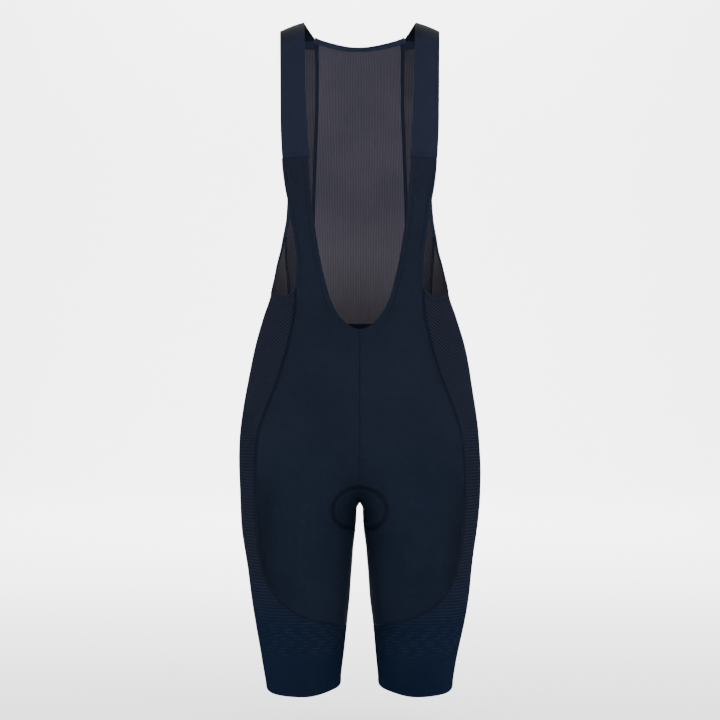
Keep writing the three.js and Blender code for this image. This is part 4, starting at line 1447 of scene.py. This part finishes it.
# Rows of stitches: run, distance beside it in mm, the piece they are in, and how far they stand off.
STITCH_ROWS = {
    "front_seam_outer": ("front_line", 2.6, "side_cloth", 0.0),
    "front_seam_inner": ("front_line", -2.6, "front_cloth", 0.0),
    "back_seam_outer": ("back_line", -2.3, "side_cloth", 0.0),
    "back_seam_inner": ("back_line", 2.3, "back_cloth", 0.0),
    "scoop_hem": ("scoop", SCOOP_TURN, "front_cloth", -0.3),
    "bib_hem": ("bib", -ARMHOLE_TURN, "front_cloth", -0.3),
    "armhole_foot_hem": ("arm_foot", ARMHOLE_TURN, "side_cloth", -0.3),
    "leg_hem": ("hem", LEG_TURN, "side_cloth", -0.3),
    "princess_outer": ("princess", -1.9, "mesh_side_cloth", 0.0),
    "princess_inner": ("princess", 1.9, "mesh_side_cloth", 0.0),
    "waist": ("waist", -2.6, "back_cloth", 0.0),
    "armhole_binding": ("arm_covered", 0.9, "armhole_binding_cloth", 0.35),
}


def thread_net(line, away, pitch, radius):
    """One thread in running stitches: over the cloth, then down through it."""
    lengths = lengths_along(line)
    count = max(2, int(lengths[-1] / pitch))
    steps = (np.arange(count)[:, None] + STITCH_SHARES[None]).ravel() * lengths[-1] / count
    up = read_off(steps, lengths, away)
    centre = read_off(steps, lengths, line) + up * np.tile(STITCH_HEIGHTS, count)[:, None]
    along = unit(np.gradient(centre, axis=0))
    side = unit(np.cross(up, along))
    top = np.cross(along, side)
    angles = np.linspace(0, 2 * math.pi, THREAD_SIDES + 1)
    reach = np.full(len(centre), radius)
    reach[[0, -1]] = 0
    ring = top[:, None] * np.cos(angles)[None, :, None] + side[:, None] * np.sin(angles)[None, :, None]
    ring[:, -1] = ring[:, 0]
    return centre[:, None] + ring * reach[:, None, None]


def stitch_piece(name, line, away, carrier, pitch, radius=THREAD_RADIUS):
    points = thread_net(line, away, pitch, radius)
    piece = close_up(grid_mesh(name, points, points[..., :2] * 0, np.zeros(points.shape)))
    return sewn_on(dress(piece, material_for("thread")), carrier)


def make_stitching(settings):
    pitch = settings.stitch_pitch / MM
    for name, (run, distance, carrier, extra) in STITCH_ROWS.items():
        for hand, own in both_lines(beside(line_of(RUNS[run], STITCH_LINE_STEP), distance)):
            stitch_piece(f"{name}_stitches_{hand}", settle(own, extra), outward(own),
                         f"{carrier}_{hand}", pitch)
    for hand, own in both_lines(PAD_LINE):
        stitch_piece(f"pad_edge_stitches_{hand}", settle(own, PAD_THREAD_LEVEL), outward(own),
                     f"front_cloth_{hand}", pitch, PAD_THREAD_RADIUS)
    points, away = strap_net()
    from_back = lengths_along(points[:, STRAP_MIDDLE])
    for end, name in ((from_back, "back"), (from_back[-1] - from_back, "bib")):
        for order, distance in enumerate(STRAP_STITCH_ROWS):
            row = int(np.argmin(np.abs(end - distance)))
            normals = dict(both_lines(away[row, 1:-1]))
            for hand, own in both_lines(points[row, 1:-1]):
                stitch_piece(f"strap_{name}_stitches_{order}_{hand}", own, normals[hand],
                             f"strap_elastic_{hand}", pitch)


def length_setting(name, description, default):
    return bpy.props.FloatProperty(
        name=name, description=description, default=default, unit="LENGTH", subtype="DISTANCE",
    )


def power_setting(name, description, default):
    return bpy.props.FloatProperty(name=name, description=description, default=default, unit="POWER")


class BibShortsSettings(bpy.types.PropertyGroup):
    shorts_cloth: length_setting("Shorts cloth", "Thickness of the knit of the shorts", 0.0014)
    mesh_cloth: length_setting("Mesh", "Thickness of the mesh of the back", 0.001)
    binding_cloth: length_setting("Binding", "Thickness of the folded edge binding", 0.002)
    strap_elastic: length_setting("Strap elastic", "Thickness of the shoulder straps", 0.0017)
    stitch_pitch: length_setting("Stitch pitch", "Distance from one stitch to the next", 0.0029)


class StudioSettings(bpy.types.PropertyGroup):
    floor_level: length_setting("Floor level", "Height of the floor below the shoulders", -0.985)
    key_power: power_setting("Key light", "Power of the large soft light in front", 44.0)
    fill_power: power_setting("Fill light", "Power of the light at the other side", 17.0)
    wall_power: power_setting("Wall light", "Power of the light on the wall behind", 1250.0)
    camera_distance: length_setting("Camera distance", "Distance from camera to the body's middle", 3.0)
    picture_width: length_setting("Picture width", "Width of the picture where the body stands", 1.008)


CAMERA_X = 0.00035
CAMERA_HEIGHT = -0.4645
SENSOR_MM = 36.0
VIEW_END = 60
WORLD_LIGHT = 1.15
WORLD_TINT = (0.95, 0.96, 1.0, 1)
BODY_MIDDLE = (0, 0, -0.45)
# Lights: place, what they point at, width in metres, and the setting that holds their power.
LIGHTS = {
    "key_light": ((1.5, -2.9, 1.1), BODY_MIDDLE, 2.2, "key_power"),
    "fill_light": ((-1.9, -2.7, 0.3), BODY_MIDDLE, 2.4, "fill_power"),
    "wall_light": ((0, 3.4, 3.3), (0, 6.2, -1.0), 4.0, "wall_power"),
}
# The floor in metres: how far it reaches, where it starts to curve up, and the curve's radius.
FLOOR_REACH = 12
FLOOR_BEND_AT = 5.4
FLOOR_BEND_RADIUS = 1.6
WALL_STEPS = np.array([0.7, 1.6, 2.8, 4])


def make_camera(settings):
    deselect()
    bpy.ops.object.camera_add(
        location=(CAMERA_X, -settings.camera_distance, CAMERA_HEIGHT), rotation=(math.radians(90), 0, 0),
    )
    camera = bpy.context.object
    camera.name = "photo_camera"
    camera.data.sensor_width = SENSOR_MM
    camera.data.lens = SENSOR_MM * settings.camera_distance / settings.picture_width
    camera.data.clip_end = VIEW_END
    bpy.context.scene.camera = camera


def make_floor(settings):
    """A pale floor that curves up into a pale wall behind."""
    radius = FLOOR_BEND_RADIUS
    across = np.linspace(-FLOOR_REACH, FLOOR_REACH, 25)
    level = np.linspace(-FLOOR_REACH, FLOOR_BEND_AT, 20)
    bend = np.radians(np.linspace(0, 90, 17))[1:]
    depth = np.concatenate([level, level[-1] + radius * np.sin(bend), level[-1] + radius + 0 * WALL_STEPS])
    rise = np.concatenate([0 * level, radius * (1 - np.cos(bend)), radius + WALL_STEPS])
    points = np.stack([
        np.repeat(across[None], len(depth), 0),
        np.repeat(depth[:, None], len(across), 1),
        np.repeat(rise[:, None] + settings.floor_level, len(across), 1),
    ], -1)[::-1]
    stored = points / MM + np.array([0, 0, SHOULDER_LEVEL])
    piece = grid_mesh("studio_floor", stored, points[..., :2], np.zeros(points.shape))
    bpy.ops.object.shade_smooth()
    shade = Shade("Pale studio floor")
    colour = shade.blend(shade.noise(1.3, 2.0), (0.86, 0.86, 0.86, 1), (0.9, 0.9, 0.9, 1))
    dress(piece, shade.done(colour, 0.95, shade.noise(40.0), 0.0005, 0.1, 0.1))


def make_light(name, location, target, size, power):
    deselect()
    bpy.ops.object.light_add(type="AREA", location=location)
    light = bpy.context.object
    light.name = name
    light.data.shape = "SQUARE"
    light.data.size = size
    light.data.energy = power
    aim = np.array(target, float) - np.array(location, float)
    flat = math.hypot(aim[0], aim[1])
    light.rotation_euler = (math.atan2(flat, -aim[2]), 0, math.atan2(aim[1], aim[0]) - math.pi / 2)


def make_studio(settings):
    make_camera(settings)
    make_floor(settings)
    for name, (location, target, size, power) in LIGHTS.items():
        make_light(name, location, target, size, getattr(settings, power))
    world = bpy.data.worlds.new("Pale studio")
    world.use_nodes = True
    backdrop = world.node_tree.nodes["Background"]
    backdrop.inputs[0].default_value = WORLD_TINT
    backdrop.inputs[1].default_value = WORLD_LIGHT
    bpy.context.scene.world = world


class MakerOperator:
    bl_options = {"REGISTER", "UNDO"}
    group = "bib_shorts"

    def execute(self, context):
        try:
            self.maker(getattr(context.scene, self.group))
        except Exception as problem:
            self.report({"ERROR"}, str(problem))
            raise
        return {"FINISHED"}


class BIBSHORTS_OT_front(MakerOperator, bpy.types.Operator):
    """Make the two front panels"""
    bl_idname = "bibshorts.front"
    bl_label = "Front panels"
    maker = staticmethod(make_front)


class BIBSHORTS_OT_sides(MakerOperator, bpy.types.Operator):
    """Make the two side panels with their cuffs"""
    bl_idname = "bibshorts.sides"
    bl_label = "Side panels"
    maker = staticmethod(make_sides)


class BIBSHORTS_OT_back(MakerOperator, bpy.types.Operator):
    """Make the two back panels"""
    bl_idname = "bibshorts.back"
    bl_label = "Back panels"
    maker = staticmethod(make_back)


class BIBSHORTS_OT_mesh(MakerOperator, bpy.types.Operator):
    """Make the three mesh panels of the back"""
    bl_idname = "bibshorts.mesh"
    bl_label = "Mesh back"
    maker = staticmethod(make_mesh_back)


class BIBSHORTS_OT_bindings(MakerOperator, bpy.types.Operator):
    """Make the neck binding and the two armhole bindings"""
    bl_idname = "bibshorts.bindings"
    bl_label = "Bindings"
    maker = staticmethod(make_bindings)


class BIBSHORTS_OT_straps(MakerOperator, bpy.types.Operator):
    """Make the two elastic shoulder straps"""
    bl_idname = "bibshorts.straps"
    bl_label = "Straps"
    maker = staticmethod(make_straps)


class BIBSHORTS_OT_tapes(MakerOperator, bpy.types.Operator):
    """Make the seam threads and the inner tapes"""
    bl_idname = "bibshorts.tapes"
    bl_label = "Seams"
    maker = staticmethod(make_tapes)


class BIBSHORTS_OT_stitching(MakerOperator, bpy.types.Operator):
    """Make the rows of stitches"""
    bl_idname = "bibshorts.stitching"
    bl_label = "Stitching"
    maker = staticmethod(make_stitching)


class BIBSHORTS_OT_studio(MakerOperator, bpy.types.Operator):
    """Make the floor, lights and camera"""
    bl_idname = "bibshorts.studio"
    bl_label = "Studio"
    group = "bib_shorts_studio"
    maker = staticmethod(make_studio)


OPERATORS = (
    BIBSHORTS_OT_front, BIBSHORTS_OT_sides, BIBSHORTS_OT_back, BIBSHORTS_OT_mesh, BIBSHORTS_OT_bindings,
    BIBSHORTS_OT_straps, BIBSHORTS_OT_tapes, BIBSHORTS_OT_stitching, BIBSHORTS_OT_studio,
)


class BIBSHORTS_PT_panel(bpy.types.Panel):
    """Sidebar panel for the bib shorts"""
    bl_idname = "BIBSHORTS_PT_panel"
    bl_label = "Bib shorts"
    bl_space_type = "VIEW_3D"
    bl_region_type = "UI"
    bl_category = "Bib shorts"

    def draw(self, context):
        layout = self.layout
        for group in (context.scene.bib_shorts, context.scene.bib_shorts_studio):
            for name in group.__annotations__:
                layout.prop(group, name)
        for operator in OPERATORS:
            layout.operator(operator.bl_idname)


CLASSES = (BibShortsSettings, StudioSettings) + OPERATORS + (BIBSHORTS_PT_panel,)


def register():
    for item in CLASSES:
        bpy.utils.register_class(item)
    bpy.types.Scene.bib_shorts = bpy.props.PointerProperty(type=BibShortsSettings)
    bpy.types.Scene.bib_shorts_studio = bpy.props.PointerProperty(type=StudioSettings)


def unregister():
    del bpy.types.Scene.bib_shorts_studio
    del bpy.types.Scene.bib_shorts
    for item in reversed(CLASSES):
        bpy.utils.unregister_class(item)


def main():
    register()
    bpy.ops.bibshorts.front()
    bpy.ops.bibshorts.sides()
    bpy.ops.bibshorts.back()
    bpy.ops.bibshorts.mesh()
    bpy.ops.bibshorts.bindings()
    bpy.ops.bibshorts.straps()
    bpy.ops.bibshorts.tapes()
    bpy.ops.bibshorts.stitching()
    bpy.ops.bibshorts.studio()


if __name__ == "__main__":
    main()
